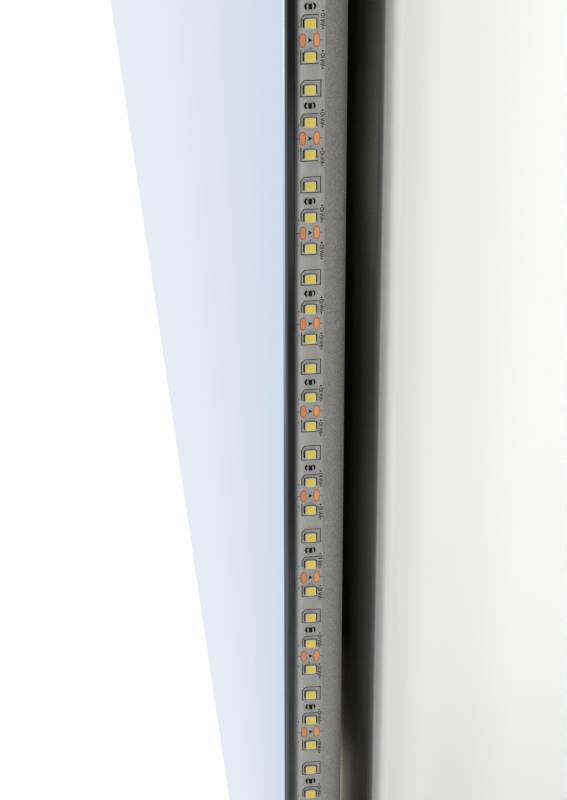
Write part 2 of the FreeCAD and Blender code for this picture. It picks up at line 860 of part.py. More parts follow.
SPOT_INSET = 4.8
driver_right = d.driver_left + d.driver_long
terminal_right = d.terminal_left + d.terminal_long
driver_spots = corner_spots(n.driver_left, n.driver_long, n.driver_tall, SPOT_INSET)
terminal_spots = corner_spots(n.terminal_left, n.terminal_long, n.terminal_tall, SPOT_INSET)

driver_tray = tray(
    "driver_tray",
    d.driver_left,
    d.driver_long,
    d.driver_tall,
    [d.driver_left, driver_right],
)
keep(joined("driver_base", [driver_tray, posts("driver_posts", driver_spots)]), "driver_case")
keep(lid("driver_top", d.driver_left, d.driver_long, d.driver_tall, driver_spots), "driver_lid")
lid_screws("driver_lid_screws", driver_spots)

terminal_tray = tray(
    "terminal_tray",
    d.terminal_left,
    d.terminal_long,
    d.terminal_tall,
    [d.terminal_left],
)
INLET_LEVEL = BOX_FRONT + d.box_deep * 0.5
inlet_drill = wall_drill("inlet_drill", INLET_HOLE, terminal_right, INLET_LEVEL)
terminal_open = carved("terminal_open", terminal_tray, [inlet_drill])
terminal_posts = posts("terminal_posts", terminal_spots)
keep(joined("terminal_base", [terminal_open, terminal_posts]), "terminal_box")
terminal_lid = lid("terminal_top", d.terminal_left, d.terminal_long, d.terminal_tall, terminal_spots)
keep(terminal_lid, "terminal_lid")
lid_screws("terminal_lid_screws", terminal_spots)

# The driver's board stands on four short feet and carries the parts.
BOARD_LONG = 160.0
BOARD_TALL = 44.0
BOARD_THICK = 1.6
BOARD_RISE = 8.0
FOOT_RADIUS = 2.0
FOOT_INSETS = (6.0, 5.0)
board_x = d.driver_left + (n.driver_long - BOARD_LONG) / 2
board_y = BOX_FRONT + d.box_wall + BOARD_RISE
board_z = d.box_level - BOARD_TALL / 2
board = block("board_plate", BOARD_LONG, BOARD_THICK, BOARD_TALL, board_x, board_y, board_z)
feet = []
for across in (FOOT_INSETS[0], BOARD_LONG - FOOT_INSETS[0]):
    for up in (FOOT_INSETS[1], BOARD_TALL - FOOT_INSETS[1]):
        spot = (board_x + across, BOX_FRONT + d.box_wall, board_z + up)
        feet.append(rod("foot_%d" % len(feet), FOOT_RADIUS, BOARD_RISE, *spot))
keep(joined("board_on_feet", [board] + feet), "driver_board")

TOP_OF_BOARD = board_y + BOARD_THICK
ROOM_OVER_BOARD = 4.6
CORE_SIZE = (24.0, 22.0)
CORE_SPOT = (70.0, 11.0)
WINDING_SIZE = (14.0, 30.0)
WINDING_SPOT = (75.0, 7.0)
WINDING_STEP = 0.6
CAPACITORS = ((30.0, 4.4), (44.0, 4.4), (120.0, 3.6), (130.0, 3.6))
core_corner = (board_x + CORE_SPOT[0], TOP_OF_BOARD, board_z + CORE_SPOT[1])
core = block("core", CORE_SIZE[0], ROOM_OVER_BOARD, CORE_SIZE[1], *core_corner)
winding_corner = (board_x + WINDING_SPOT[0], TOP_OF_BOARD, board_z + WINDING_SPOT[1])
winding = block(
    "winding", WINDING_SIZE[0], ROOM_OVER_BOARD - WINDING_STEP, WINDING_SIZE[1], *winding_corner
)
keep(joined("transformer", [core, winding]), "driver_transformer")
capacitors = []
for across, radius in CAPACITORS:
    spot = (board_x + across, TOP_OF_BOARD, d.box_level)
    capacitors.append(rod("capacitor_%d" % len(capacitors), radius, ROOM_OVER_BOARD, *spot))
keep(group("capacitors", capacitors), "driver_capacitors")

# The terminal block stands on the floor of its box.
BLOCK_LONG = 26.0
BLOCK_TALL = 34.0
BLOCK_DEEP = 11.0
BLOCK_SHIFT = 6.0
WAY_PITCH = 11.0
WAY_INSET = 6.0
WAY_DEEP = 4.0
WAY_SCREW = 2.5
WAY_HOLE = 2.6
WAY_SCREW_TALL = 2.0
block_x = d.terminal_left + n.terminal_long / 2 - BLOCK_LONG / 2 + BLOCK_SHIFT
block_y = BOX_FRONT + d.box_wall
ways = block("ways", BLOCK_LONG, BLOCK_DEEP, BLOCK_TALL, block_x, block_y, d.box_level - BLOCK_TALL / 2)
way_holes = []
way_screws = []
for way in (-1, 0, 1):
    for across in (WAY_INSET, BLOCK_LONG - WAY_INSET):
        spot = (block_x + across, block_y + BLOCK_DEEP - WAY_DEEP, d.box_level + way * WAY_PITCH)
        way_holes.append(rod("way_%d" % len(way_holes), WAY_HOLE, WAY_DEEP + 1, *spot))
        way_screws.append(rod("way_screw_%d" % len(way_screws), WAY_SCREW, WAY_SCREW_TALL, *spot))
keep(carved("terminal_ways", ways, way_holes), "terminal_block")
keep(group("way_screws", way_screws), "terminal_screws")

# Foam cushions hold both boxes on the film.
CUSHION_SHARES = (0.12, 0.62)
CUSHION_LONG_SHARE = 0.26
CUSHION_TALL = 46.0
cushions = []
for left, long in ((d.driver_left, n.driver_long), (d.terminal_left, n.terminal_long)):
    for share in CUSHION_SHARES:
        corner = (left + long * share, FILM_BACK, d.box_level - CUSHION_TALL / 2)
        tag = "cushion_%d" % len(cushions)
        cushions.append(block(tag, long * CUSHION_LONG_SHARE, d.cushion, CUSHION_TALL, *corner))
keep(group("cushions", cushions), "box_cushions")


COLLAR_INSIDE = 1.2
COLLAR_OUTSIDE = 4.0
GLAND_COLLAR = 3.9
INLET_COLLAR = 7.4
INLET_BORE = 3.6
GLAND_DRILL_DEEP = 12.0
LEAD_BORE = d.lead_radius + d.bore_play


def gland(name, radii, x, y, wall_side):
    """A rubber bush in a box wall: a neck in the hole and a collar on each side."""
    hole, bore, collar = radii
    step = d.box_wall
    on_left = wall_side < 0
    inner_x = x + step if on_left else x - step - COLLAR_INSIDE
    neck_x = x if on_left else x - step
    outer_x = x - COLLAR_OUTSIDE if on_left else x
    inner = rod(name + "_in", collar, COLLAR_INSIDE, inner_x, y, d.box_level, "x")
    neck = rod(name + "_neck", hole, step, neck_x, y, d.box_level, "x")
    outer = rod(name + "_out", collar, COLLAR_OUTSIDE, outer_x, y, d.box_level, "x")
    drill = rod(name + "_bore", bore, GLAND_DRILL_DEEP, x - GLAND_DRILL_DEEP / 2, y, d.box_level, "x")
    return carved(name, joined(name + "_body", [inner, neck, outer]), [drill])


LEAD_GLAND = (GLAND_HOLE, LEAD_BORE, GLAND_COLLAR)
glands = [
    gland("gland_out", LEAD_GLAND, d.driver_left, d.lead_level, -1),
    gland("gland_in", LEAD_GLAND, driver_right, d.lead_level, 1),
    gland("gland_link", LEAD_GLAND, d.terminal_left, d.lead_level, -1),
]
keep(group("glands", glands), "lead_glands")
inlet = gland("inlet", (INLET_HOLE, INLET_BORE, INLET_COLLAR), terminal_right, INLET_LEVEL, 1)
keep(inlet, "mains_inlet_gland")

# --- The leads that stay inside: box to driver, and driver to tape ---

INSIDE_END = 5.0
link = rod(
    "link",
    d.lead_radius,
    d.terminal_left - driver_right + INSIDE_END * 2,
    driver_right - INSIDE_END,
    d.lead_level,
    d.box_level,
    "x",
)
keep(link, "box_link_lead")

frame_left_x = -half_span("left").value
feed_route = [
    (n.driver_left + INSIDE_END, n.lead_level, n.box_level),
    (n.lead_rise, n.lead_level, n.box_level),
    (n.lead_rise, n.lead_level, n.feed_level),
    (frame_left_x, n.lead_level, n.feed_level),
]
keep(finished("feed", lead_shape(feed_route, n.lead_radius, n.lead_bend)), "tape_feed_lead")

# The bush in the frame's wall that the feed lead passes through.
GROMMET_FLANGE = 3.3
GROMMET_INSIDE = 0.9
GROMMET_OUTSIDE = 0.8
GROMMET_BORE_DEEP = 8.0
outer_face = -half_span("left")


def grommet_ring(name, radius, long, start):
    return rod("grommet_" + name, radius, long, start, d.lead_level, d.feed_level, "x")


grommet_rings = [
    grommet_ring("neck", GROMMET_NECK, d.wall_thick, outer_face),
    grommet_ring("in", GROMMET_FLANGE, GROMMET_INSIDE, outer_face + d.wall_thick),
    grommet_ring("out", GROMMET_FLANGE, GROMMET_OUTSIDE, outer_face - GROMMET_OUTSIDE),
]
grommet_bore = grommet_ring("bore", LEAD_BORE, GROMMET_BORE_DEEP, outer_face - GROMMET_BORE_DEEP / 2)
keep(carved("grommet", joined("grommet_body", grommet_rings), [grommet_bore]), "frame_grommet")

# Two tails leave the feed lead's end and turn down onto the tape's first pads.
CORE_SPREAD = 0.75
TAIL_BEND = 1.1
TAIL_TURN = 1.5
tails = []
tape_end = tape_start("left") + cuts_on("left") * n.tape_cut
tape_end_z = on_side("left", tape_end, 0, 0).z
tail_x = frame_left_x - n.tail_height
for line, core_side in zip(pad_lines, (-1, 1)):
    core_y = n.lead_level + CORE_SPREAD * core_side
    route = [
        (frame_left_x, core_y, n.feed_level),
        (tail_x, core_y, n.feed_level),
        (tail_x, line, tape_end_z + TAIL_TURN),
        (tail_x, line, tape_end_z - JOINT_FROM_END - JOINT_IN),
    ]
    tails.append(lead_shape(route, n.tail_radius, TAIL_BEND))
    foot = on_side("left", tape_end - JOINT_FROM_END, TAPE_TOP.value, line)
    joints.append(Part.makeCone(*JOINT_RADII, JOINT_TALL, foot, FreeCAD.Vector(-1, 0, 0)))
keep(finished("tails", Part.makeCompound(tails)), "feed_tails")
keep(finished("solder_joints", Part.makeCompound(joints)), "solder_joints")

# Stick-on saddles hold the feed lead along its way over the film.
SADDLE = 9.0
SADDLE_SKIN = 1.2
SADDLE_BORE_DEEP = 12.0
SADDLE_SPOTS = (
    ("x", -400.0, n.box_level),
    ("x", -480.0, n.box_level),
    ("z", n.lead_rise, -110.0),
    ("z", n.lead_rise, -40.0),
    ("z", n.lead_rise, 45.0),
)
saddle_tall = d.lead_level + d.lead_radius + SADDLE_SKIN - FILM_BACK
saddles = []
for along, across, up in SADDLE_SPOTS:
    tag = "saddle_%d" % len(saddles)
    corner = (across - SADDLE / 2, FILM_BACK, up - SADDLE / 2)
    blank = block(tag + "_blank", SADDLE, saddle_tall, SADDLE, *corner)
    reach = SADDLE_BORE_DEEP / 2
    start_x = across - reach if along == "x" else across
    start_z = up - reach if along == "z" else up
    bore = rod(tag + "_bore", LEAD_BORE, SADDLE_BORE_DEEP, start_x, d.lead_level, start_z, along)
    saddles.append(carved(tag, blank, [bore]))
keep(group("saddles", saddles), "lead_saddles")

# --- Checks and files ---

doc.recompute()
for thing in doc.Objects:
    if "Invalid" in thing.State or "Error" in thing.State:
        raise RuntimeError("%s failed: %s" % (thing.Name, thing.State))
for piece in pieces:
    if piece.Shape.isNull() or not piece.Shape.isValid():
        raise RuntimeError("%s has no valid shape" % piece.Label)
os.makedirs("parts", exist_ok=True)
for piece in pieces:
    piece.Shape.exportStep("parts/%s.step" % piece.Label)
print("%d pieces" % len(pieces))
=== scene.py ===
# %% [markdown]
# # A lighted bathroom mirror, seen close along its lower right edge
#
# The construction comes from the CAD model: a 1200 x 800 mm sheet of silvered glass, an
# aluminium frame behind it with light tape round its outer face, and dark rails that hold
# it off the wall. This script gives every piece its finish, builds the tape's small parts
# as real shapes, and sets the camera where the photographer stood.

import math

import bpy
from mathutils import Matrix, Vector


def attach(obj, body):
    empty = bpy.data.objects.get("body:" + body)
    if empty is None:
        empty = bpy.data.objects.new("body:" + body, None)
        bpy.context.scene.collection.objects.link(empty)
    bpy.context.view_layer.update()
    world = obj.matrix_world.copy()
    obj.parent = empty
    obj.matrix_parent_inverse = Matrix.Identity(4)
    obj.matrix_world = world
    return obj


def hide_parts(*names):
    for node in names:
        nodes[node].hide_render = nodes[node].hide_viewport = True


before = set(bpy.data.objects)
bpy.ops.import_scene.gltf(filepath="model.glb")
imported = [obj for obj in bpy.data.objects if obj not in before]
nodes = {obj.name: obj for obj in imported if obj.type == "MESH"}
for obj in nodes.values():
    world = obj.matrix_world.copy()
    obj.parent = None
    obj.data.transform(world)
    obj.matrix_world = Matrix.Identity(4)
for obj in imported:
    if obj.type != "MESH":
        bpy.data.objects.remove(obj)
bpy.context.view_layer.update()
scene = bpy.context.scene

# %% [markdown]
# ## The camera
#
# The photo is a long-lens close view: the camera stands just off the wall to the right,
# looks almost along it and tips down by about thirty degrees. Its place and turn were
# solved from the lights, which repeat every 25 mm, and from the glass and wall edges. A
# constraint could aim it at a target, but the small roll can't be aimed, so its three
# angles are written out and make its turn.

# %% Camera
CAMERA_PLACE = Vector((1.18792, -0.09024, -0.08238))
CAMERA_YAW = math.radians(6.231)
CAMERA_DIP = math.radians(30.5105)
CAMERA_ROLL = math.radians(-0.166)
SENSOR = 36.0
LONG_SIDE = 800
FOCAL_PIXELS = 2781.7

ahead = Vector(
    (
        -math.cos(CAMERA_DIP) * math.cos(CAMERA_YAW),
        math.cos(CAMERA_DIP) * math.sin(CAMERA_YAW),
        -math.sin(CAMERA_DIP),
    )
)
level_right = ahead.cross(Vector((0, 0, 1))).normalized()
level_up = level_right.cross(ahead)
right = level_right * math.cos(CAMERA_ROLL) + level_up * math.sin(CAMERA_ROLL)
up = level_up * math.cos(CAMERA_ROLL) - level_right * math.sin(CAMERA_ROLL)
lens = bpy.data.cameras.new("camera")
lens.sensor_width = SENSOR
lens.lens = FOCAL_PIXELS / LONG_SIDE * SENSOR
lens.clip_start = 0.01
lens.clip_end = 60.0
camera = bpy.data.objects.new("camera", lens)
scene.collection.objects.link(camera)
turn = Matrix((right, up, -ahead)).transposed().to_4x4()
camera.matrix_world = Matrix.Translation(CAMERA_PLACE) @ turn
scene.camera = camera
scene.view_settings.view_transform = "Standard"
print("lens %.1f mm" % lens.lens)

# %% [markdown]
# ## Small tools for finishes
#
# A finish is a node material. It could be painted on an unwrapped map, but here every
# finish is worked out from the piece's own place in the room, in metres, so a grain of half
# a millimetre stays that size on every piece.

# %% Node tools
MM = 0.001
AXES = "XYZ"
MIDDLE_Z = -0.3


class Finish:
    """A material and short calls for the nodes in it."""

    def __init__(self, name, rough=0.5, metal=0.0, level=0.5):
        self.material = bpy.data.materials.new(name)
        self.material.use_nodes = True
        self.tree = self.material.node_tree
        self.shader = self.tree.nodes["Principled BSDF"]
        self.shader.inputs["Roughness"].default_value = rough
        self.shader.inputs["Metallic"].default_value = metal
        self.shader.inputs["Specular IOR Level"].default_value = level
        self.texture = self.tree.nodes.new("ShaderNodeTexCoord")

    def node(self, kind, settings=None, **inputs):
        """A node with its settings; inputs are values or outputs of other nodes."""
        made = self.tree.nodes.new("ShaderNode" + kind)
        for key, value in (settings or {}).items():
            setattr(made, key, value)
        for key, value in inputs.items():
            self.feed(made, key.replace("_", " "), value)
        return made

    def feed(self, made, key, value):
        """Sets an input to a value, or links another node's output to it."""
        socket = made.inputs[int(key)] if key.isdigit() else made.inputs[key]
        if isinstance(value, bpy.types.NodeSocket):
            self.tree.links.new(value, socket)
        else:
            socket.default_value = value

    def to(self, key, output):
        """Links an output to one of the shader's own inputs."""
        self.tree.links.new(output, self.shader.inputs[key])

    def place(self, stretch=(1, 1, 1)):
        """The place on the piece in metres, stretched along the axes."""
        made = self.node("Mapping", Vector=self.texture.outputs["Object"])
        made.inputs["Scale"].default_value = stretch
        return made.outputs["Vector"]

    def axis(self, axis):
        """One coordinate of the place, in metres."""
        split = self.node("SeparateXYZ", Vector=self.texture.outputs["Object"])
        return split.outputs[AXES[axis]]

    def facing(self, axis):
        """One part of the direction that the surface faces."""
        split = self.node("SeparateXYZ", Vector=self.texture.outputs["Normal"])
        return split.outputs[AXES[axis]]

    def sum(self, operation, first, second=0.0):
        """One step of arithmetic on two values."""
        made = self.node("Math", {"operation": operation})
        self.feed(made, "0", first)
        self.feed(made, "1", second)
        return made.outputs[0]

    def noise(self, grain, detail=3.0, rough=0.6, stretch=(1, 1, 1)):
        """Soft noise whose lumps are about grain millimetres across."""
        made = self.node("TexNoise", Vector=self.place(stretch))
        made.inputs["Scale"].default_value = 1.0 / (grain * MM)
        made.inputs["Detail"].default_value = detail
        made.inputs["Roughness"].default_value = rough
        return made.outputs[0]

    def cells(self, grain):
        """Cells of about grain millimetres; returns the node."""
        made = self.node("TexVoronoi", Vector=self.place())
        made.inputs["Scale"].default_value = 1.0 / (grain * MM)
        return made

    def ramp(self, value, stops, mode="LINEAR"):
        """Turns a value into a colour or a grey by stops of (position, colour)."""
        made = self.node("ValToRGB")
        made.color_ramp.interpolation = mode
        points = made.color_ramp.elements
        while len(points) < len(stops):
            points.new(0.5)
        for point, (position, colour) in zip(points, stops):
            point.position = position
            point.color = as_colour(colour)
        self.tree.links.new(value, made.inputs[0])
        return made.outputs[0]

    def spread(self, value, low, high, to_low=0.0, to_high=1.0):
        """Maps low..high to another range, held at its ends."""
        made = self.node("MapRange", {"clamp": True})
        self.feed(made, "0", value)
        for index, number in enumerate((low, high, to_low, to_high)):
            made.inputs[index + 1].default_value = number
        return made.outputs[0]

    def mix(self, share, first, second, blend="MIX"):
        """Mixes two colours; share is a number or an output."""
        made = self.node("Mix", {"data_type": "RGBA", "blend_type": blend})
        for index, value in ((0, share), (6, first), (7, second)):
            if not isinstance(value, bpy.types.NodeSocket) and index:
                value = as_colour(value)
            self.feed(made, str(index), value)
        return made.outputs[2]

    def bump(self, height, depth):
        """Raises the surface by up to depth millimetres."""
        made = self.node("Bump", Height=height)
        made.inputs["Distance"].default_value = depth * MM
        made.inputs["Strength"].default_value = 1.0
        self.to("Normal", made.outputs[0])


def as_colour(value):
    """A grey number or three numbers as a colour with full cover."""
    if isinstance(value, (int, float)):
        return (value, value, value, 1.0)
    return (*value, 1.0)


# %% [markdown]
# ## Most finishes share one recipe
#
# Colour wanders a little between two tones, gloss wanders with it, and a fine grain
# raises the surface. Each material could have nodes of its own, but plastic, rubber, felt,
# paint and dull metal differ only in the numbers, so one function makes them all.

# %% The common recipe
def grained(name, light, dark, grain, rough, metal=0.0, depth=0.02, level=0.5, stretch=(1, 1, 1)):
    """A finish whose tone, gloss and height follow one noise of grain millimetres."""
    made = Finish(name, rough, metal, level)
    wander = made.noise(grain * 40, stretch=stretch)
    fine = made.noise(grain, detail=4.0, stretch=stretch)
    both = made.sum("MULTIPLY", made.sum("ADD", wander, fine), 0.5)
    made.to("Base Color", made.ramp(both, [(0.3, dark), (0.7, light)]))
    made.to("Roughness", made.spread(wander, 0.3, 0.7, rough * 0.9, min(1.0, rough * 1.12)))
    made.bump(fine, depth)
    return made


def outward(finish):
    """1 on faces that point away from the mirror's middle in its own plane, 0 elsewhere."""
    sideways = finish.sum("MULTIPLY", finish.facing(0), finish.axis(0))
    upward = finish.sum("MULTIPLY", finish.facing(2), finish.sum("SUBTRACT", finish.axis(2), MIDDLE_Z))
    return finish.spread(finish.sum("MAXIMUM", sideways, upward), 0.05, 0.1)


def dress(finish, *names):
    """Gives construction pieces a finish."""
    for name in names:
        slots = nodes[name].material_slots
        if len(slots) == 0:
            nodes[name].data.materials.append(finish.material)
        for place in slots:
            place.material = finish.material


# %% [markdown]
# ## The glass
#
# A mirror is silvered on its back, so the front face shows the room and nothing of the
# glass. Its cut edge was ground and polished: there the eye looks into the dark, slightly
# green body of the glass; painted light and shade make the edge darker toward the top,
# with a lighter band, and a painted highlight runs along its front. The narrow arris
# between them shows a thin light line, a painted reflection of the pale room high up and
# duller lower down; the rear arris is painted darker toward the top as shade. The back is
# sealed with grey paint. Each face could be given its own material by hand; one finish
# that tells them apart by which way the face points needs no picking of faces.

# %% Glass
BORDER = 0.0012
SIDE_BORDER = 12.0
EDGE_FRONT = -0.0256
EDGE_SPAN = (-0.56, -0.33)
ARRIS_REFLECTION_FADE = (-0.455, -0.335)
FRONT_GLINT = 0.0009
ARRIS_SPLIT = 0.001
HALF_WIDE = 0.6
HALF_HIGH = 0.4

glass = Finish("silvered_glass", rough=0.02, metal=1.0, level=0.09)
front_share = glass.spread(glass.facing(1), -0.95, -0.85, 1.0, 0.0)
back_share = glass.spread(glass.facing(1), 0.85, 0.95)
flat_share = glass.spread(glass.sum("ABSOLUTE", glass.facing(1)), 0.1, 0.3, 1.0, 0.0)
to_side = glass.sum("SUBTRACT", HALF_WIDE, glass.sum("ABSOLUTE", glass.axis(0)))
to_end = glass.sum(
    "SUBTRACT", HALF_HIGH, glass.sum("ABSOLUTE", glass.sum("SUBTRACT", glass.axis(2), MIDDLE_Z))
)
inward = glass.sum("MINIMUM", glass.sum("MULTIPLY", to_side, SIDE_BORDER), to_end)
silver = glass.ramp(
    glass.spread(inward, 0.0, BORDER), [(0.0, (0.10, 0.12, 0.14)), (1.0, (0.97, 0.98, 0.985))]
)
# Painted light and shade: the edge darkens toward the top, with a lighter band.
edge_light_and_shade = glass.ramp(
    glass.spread(glass.axis(2), *EDGE_SPAN),
    [
        (0.0, (0.058, 0.064, 0.068)),
        (0.30, (0.052, 0.057, 0.061)),
        (0.42, (0.022, 0.022, 0.025)),
        (0.68, (0.017, 0.017, 0.020)),
        (0.76, (0.050, 0.051, 0.057)),
        (0.86, (0.050, 0.050, 0.057)),
        (0.94, (0.012, 0.012, 0.016)),
        (1.0, (0.007, 0.007, 0.010)),
    ],
)
streaks = glass.noise(0.35, stretch=(1, 1, 0.02))
edge_light_and_shade = glass.mix(glass.spread(streaks, 0.35, 0.75, 0.0, 0.6), edge_light_and_shade, (0.004, 0.005, 0.007))
# Painted highlight: a light line along the front of the edge face.
near_front = glass.spread(glass.axis(1), EDGE_FRONT, EDGE_FRONT + FRONT_GLINT, 0.85, 0.0)
edge_light_and_shade = glass.mix(near_front, edge_light_and_shade, (0.17, 0.187, 0.20))
# High up the front arris is painted with a reflection of the pale room; lower down it is dull.
arris_reflection_share = glass.spread(glass.axis(2), *ARRIS_REFLECTION_FADE)
front_arris_reflection = glass.mix(arris_reflection_share, (0.085, 0.095, 0.105), (0.74, 0.83, 0.90))
# Painted shade: the rear arris darkens toward the top.
rear_arris_shade = glass.ramp(
    glass.spread(glass.axis(2), *EDGE_SPAN),
    [
        (0.0, (0.12, 0.125, 0.13)),
        (0.17, (0.11, 0.115, 0.12)),
        (0.32, (0.045, 0.045, 0.048)),
        (0.80, (0.035, 0.035, 0.038)),
        (0.95, (0.012, 0.012, 0.016)),
    ],
)
front_or_rear = glass.spread(glass.axis(1), EDGE_FRONT, EDGE_FRONT + ARRIS_SPLIT)
arris_tone = glass.mix(front_or_rear, front_arris_reflection, rear_arris_shade)
paint_tone = glass.ramp(glass.noise(6.0), [(0.3, (0.20, 0.21, 0.22)), (0.7, (0.25, 0.26, 0.27))])
side_tone = glass.mix(flat_share, arris_tone, edge_light_and_shade)
not_front = glass.mix(back_share, side_tone, paint_tone)
glass.to("Base Color", glass.mix(front_share, not_front, silver))
glass.to("Metallic", front_share)
glass.to("Roughness", glass.spread(front_share, 0.0, 1.0, 0.22, 0.015))
dress(glass, "mirror_glass")
print("glass finish:", len(glass.tree.nodes), "nodes")

# %% [markdown]
# ## The aluminium frame
#
# Extruded aluminium, blasted and left matt: a fine even grain with no brush lines. Its
# tone is painted shade: a shade lighter near the tape and darker toward its rear corner,
# where the dark rail behind it gives back no light, and painted lighter toward the bottom.
# The lamps alone could shade it; a ramp over the channel's depth follows the photo more
# closely.

# %% Frame
FRAME_REAR = -0.0103
TAPE_REAR = -0.0154
TONE_SPAN = (-0.54, -0.34)
alloy = Finish("bare_aluminium", rough=0.62, metal=0.0, level=0.35)
depth_share = alloy.spread(alloy.axis(1), TAPE_REAR, FRAME_REAR)
# Painted shade over the channel's depth: lighter by the tape, darker toward the rear corner.
alloy_shaded_tone = alloy.ramp(
    depth_share,
    [
        (0.0, (0.275, 0.272, 0.260)),
        (0.38, (0.237, 0.234, 0.223)),
        (0.58, (0.200, 0.197, 0.188)),
        (0.78, (0.158, 0.156, 0.147)),
        (0.93, (0.110, 0.108, 0.101)),
        (1.0, (0.090, 0.089, 0.083)),
    ],
)
# Painted light along the height: lighter toward the bottom, darker toward the top.
down_share = alloy.spread(alloy.axis(2), *TONE_SPAN)
painted_light_down = alloy.ramp(down_share, [(0.0, 1.12), (0.5, 1.01), (1.0, 0.89)])
alloy_shaded_tone = alloy.mix(1.0, alloy_shaded_tone, painted_light_down, "MULTIPLY")
alloy_shaded_tone = alloy.mix(outward(alloy), (0.30, 0.298, 0.29), alloy_shaded_tone)
grain = alloy.noise(0.21, detail=5.0, rough=0.75, stretch=(1, 1, 0.55))
grain_tone = alloy.ramp(grain, [(0.3, 0.18), (0.7, 0.86)])
alloy.to("Base Color", alloy.mix(0.85, alloy_shaded_tone, grain_tone, "OVERLAY"))
alloy.bump(grain, 0.03)
dress(alloy, "frame_top", "frame_right", "frame_bottom", "frame_left")
print("plain band beside the tape: %.1f mm" % ((FRAME_REAR - TAPE_REAR) / MM))

# %% [markdown]
# ## The dark standoff rails
#
# Folded steel with a flat black powder coat. Tucked under the frame it sees almost no
# light; its free edge stands a millimetre off the wall and picks up a little of it, and
# that falloff is painted shade, black by the frame and lighter toward the wall. Lighter and
# darker stretches along the rail are painted light and shade, and a warm painted highlight
# lies beside the frame low down on the right. A highlight could be painted by hand; two
# ramps, one across the rail and one along it, put it where it belongs by measure.

# %% Standoff rails
STANDOFF_EDGE = -0.0010
PATCH_RANGE = (-0.55, -0.32)
HIGHLIGHT_RANGE = (-0.635, -0.515)
HIGHLIGHT_WIDE = 0.008
HIGHLIGHT_SIDE = (0.5, 0.55)
HIGHLIGHT_ACROSS = [
    (0.0, 0.4),
    (0.13, 0.6),
    (0.2, 0.85),
    (0.33, 0.33),
    (0.44, 0.24),
    (0.52, 0.18),
    (0.65, 0.09),
    (1.0, 0.0),
]
HIGHLIGHT_ALONG = [
    (0.0, 0.0),
    (0.15, 0.6),
    (0.35, 1.0),
    (0.60, 1.0),
    (0.665, 0.66),
    (0.705, 0.34),
    (0.745, 0.19),
    (0.79, 0.12),
    (0.85, 0.07),
    (0.93, 0.04),
    (1.0, 0.0),
]
coat = Finish("dark_sheet", rough=0.75, metal=0.0, level=0.03)
coat_depth = coat.spread(coat.axis(1), FRAME_REAR, STANDOFF_EDGE)
# Painted shade: black under the frame, lighter toward the free edge by the wall.
coat_tone = coat.ramp(
    coat_depth,
    [
        (0.0, 0.0008),
        (0.35, (0.0055, 0.0053, 0.0045)),
        (0.6, (0.030, 0.029, 0.026)),
        (0.8, (0.085, 0.083, 0.076)),
        (1.0, (0.165, 0.162, 0.15)),
    ],
)
# Painted light and shade: lighter and darker stretches along the rail.
painted_light_along_rail = coat.ramp(
    coat.spread(coat.axis(2), *PATCH_RANGE),
    [
        (0.0, 0.56),
        (0.1, 0.66),
        (0.32, 0.76),
        (0.5, 0.54),
        (0.62, 0.72),
        (0.75, 1.26),
        (0.88, 0.9),
        (1.0, 0.42),
    ],
)
coat_tone = coat.mix(1.0, coat_tone, painted_light_along_rail, "MULTIPLY")
# Painted highlight: warm pale light beside the frame, low on the right rail.
highlight_across = coat.ramp(coat.spread(coat.axis(1), FRAME_REAR, FRAME_REAR + HIGHLIGHT_WIDE), HIGHLIGHT_ACROSS)
highlight_along = coat.ramp(coat.spread(coat.axis(2), *HIGHLIGHT_RANGE), HIGHLIGHT_ALONG)
on_right_rail = coat.spread(coat.axis(0), *HIGHLIGHT_SIDE)
painted_highlight = coat.sum("MULTIPLY", coat.sum("MULTIPLY", highlight_across, highlight_along), on_right_rail)
coat_tone = coat.mix(painted_highlight, coat_tone, (0.95, 0.90, 0.76))
coat_tone = coat.mix(outward(coat), (0.040, 0.039, 0.036), coat_tone)
orange_peel = coat.noise(0.5, detail=4.0)
peel_tone = coat.ramp(orange_peel, [(0.35, 0.3), (0.65, 0.7)])
coat.to("Base Color", coat.mix(0.3, coat_tone, peel_tone, "OVERLAY"))
coat.bump(orange_peel, 0.03)
dress(coat, "standoff_top", "standoff_right", "standoff_bottom", "standoff_left")
print("rail depth: %.1f mm" % ((STANDOFF_EDGE - FRAME_REAR) / MM))

# %% [markdown]
# ## Shapes built from outlines
#
# The tape's parts are small plates and printed lines that repeat hundreds of times. Each
# could be an object or an array's copy, but so many are slow to handle. So one collector
# takes corners and faces for a whole side, and every part is drawn once in its own small
# frame: a along the tape, u toward the wall and o outward, in millimetres.

# %% Shape tools
TAPE_Y = -18.95
TAPE_FLOOR = -0.3
TAPE_THICK = 0.25
TAPE_TOP = TAPE_FLOOR + TAPE_THICK
SIDE_TURN = {"top": 0, "right": 90, "bottom": 180, "left": 270}
SIDE_REACH = {"top": 395.0, "right": 595.0, "bottom": 395.0, "left": 595.0}
CUT = 25.0
CUTS = {"top": 47, "right": 31, "bottom": 47, "left": 30}
STARTS = {"top": -587.5, "right": -387.5, "bottom": -587.5, "left": -387.5}


def on_side(side, along, y=TAPE_Y):
    """A function from a part's own millimetres to the place on one side, in metres."""
    angle = math.radians(SIDE_TURN[side])
    cosine = round(math.cos(angle))
    sine = round(math.sin(angle))
    reach = SIDE_REACH[side]

    def put(a, u, o):
        across = a + along
        rise = o + reach
        x = across * cosine + rise * sine
        z = rise * cosine - across * sine
        return (x * MM, (y + u) * MM, z * MM + MIDDLE_Z)

    return put


# Low on the right side the tape strays a little toward the wall, as one laid by hand does.
STRAY = ((-60.0, 0.0), (43.0, -0.15), (137.0, 0.16), (237.0, 0.50), (300.0, 0.40), (375.0, 0.0))


def stray(side, along):
    """How far the printing and the lamps lie off the tape's middle line, in millimetres."""
    if side != "right":
        return 0.0
    for (low, low_stray), (high, high_stray) in zip(STRAY, STRAY[1:]):
        if low <= along <= high:
            return low_stray + (high_stray - low_stray) * (along - low) / (high - low)
    return 0.0


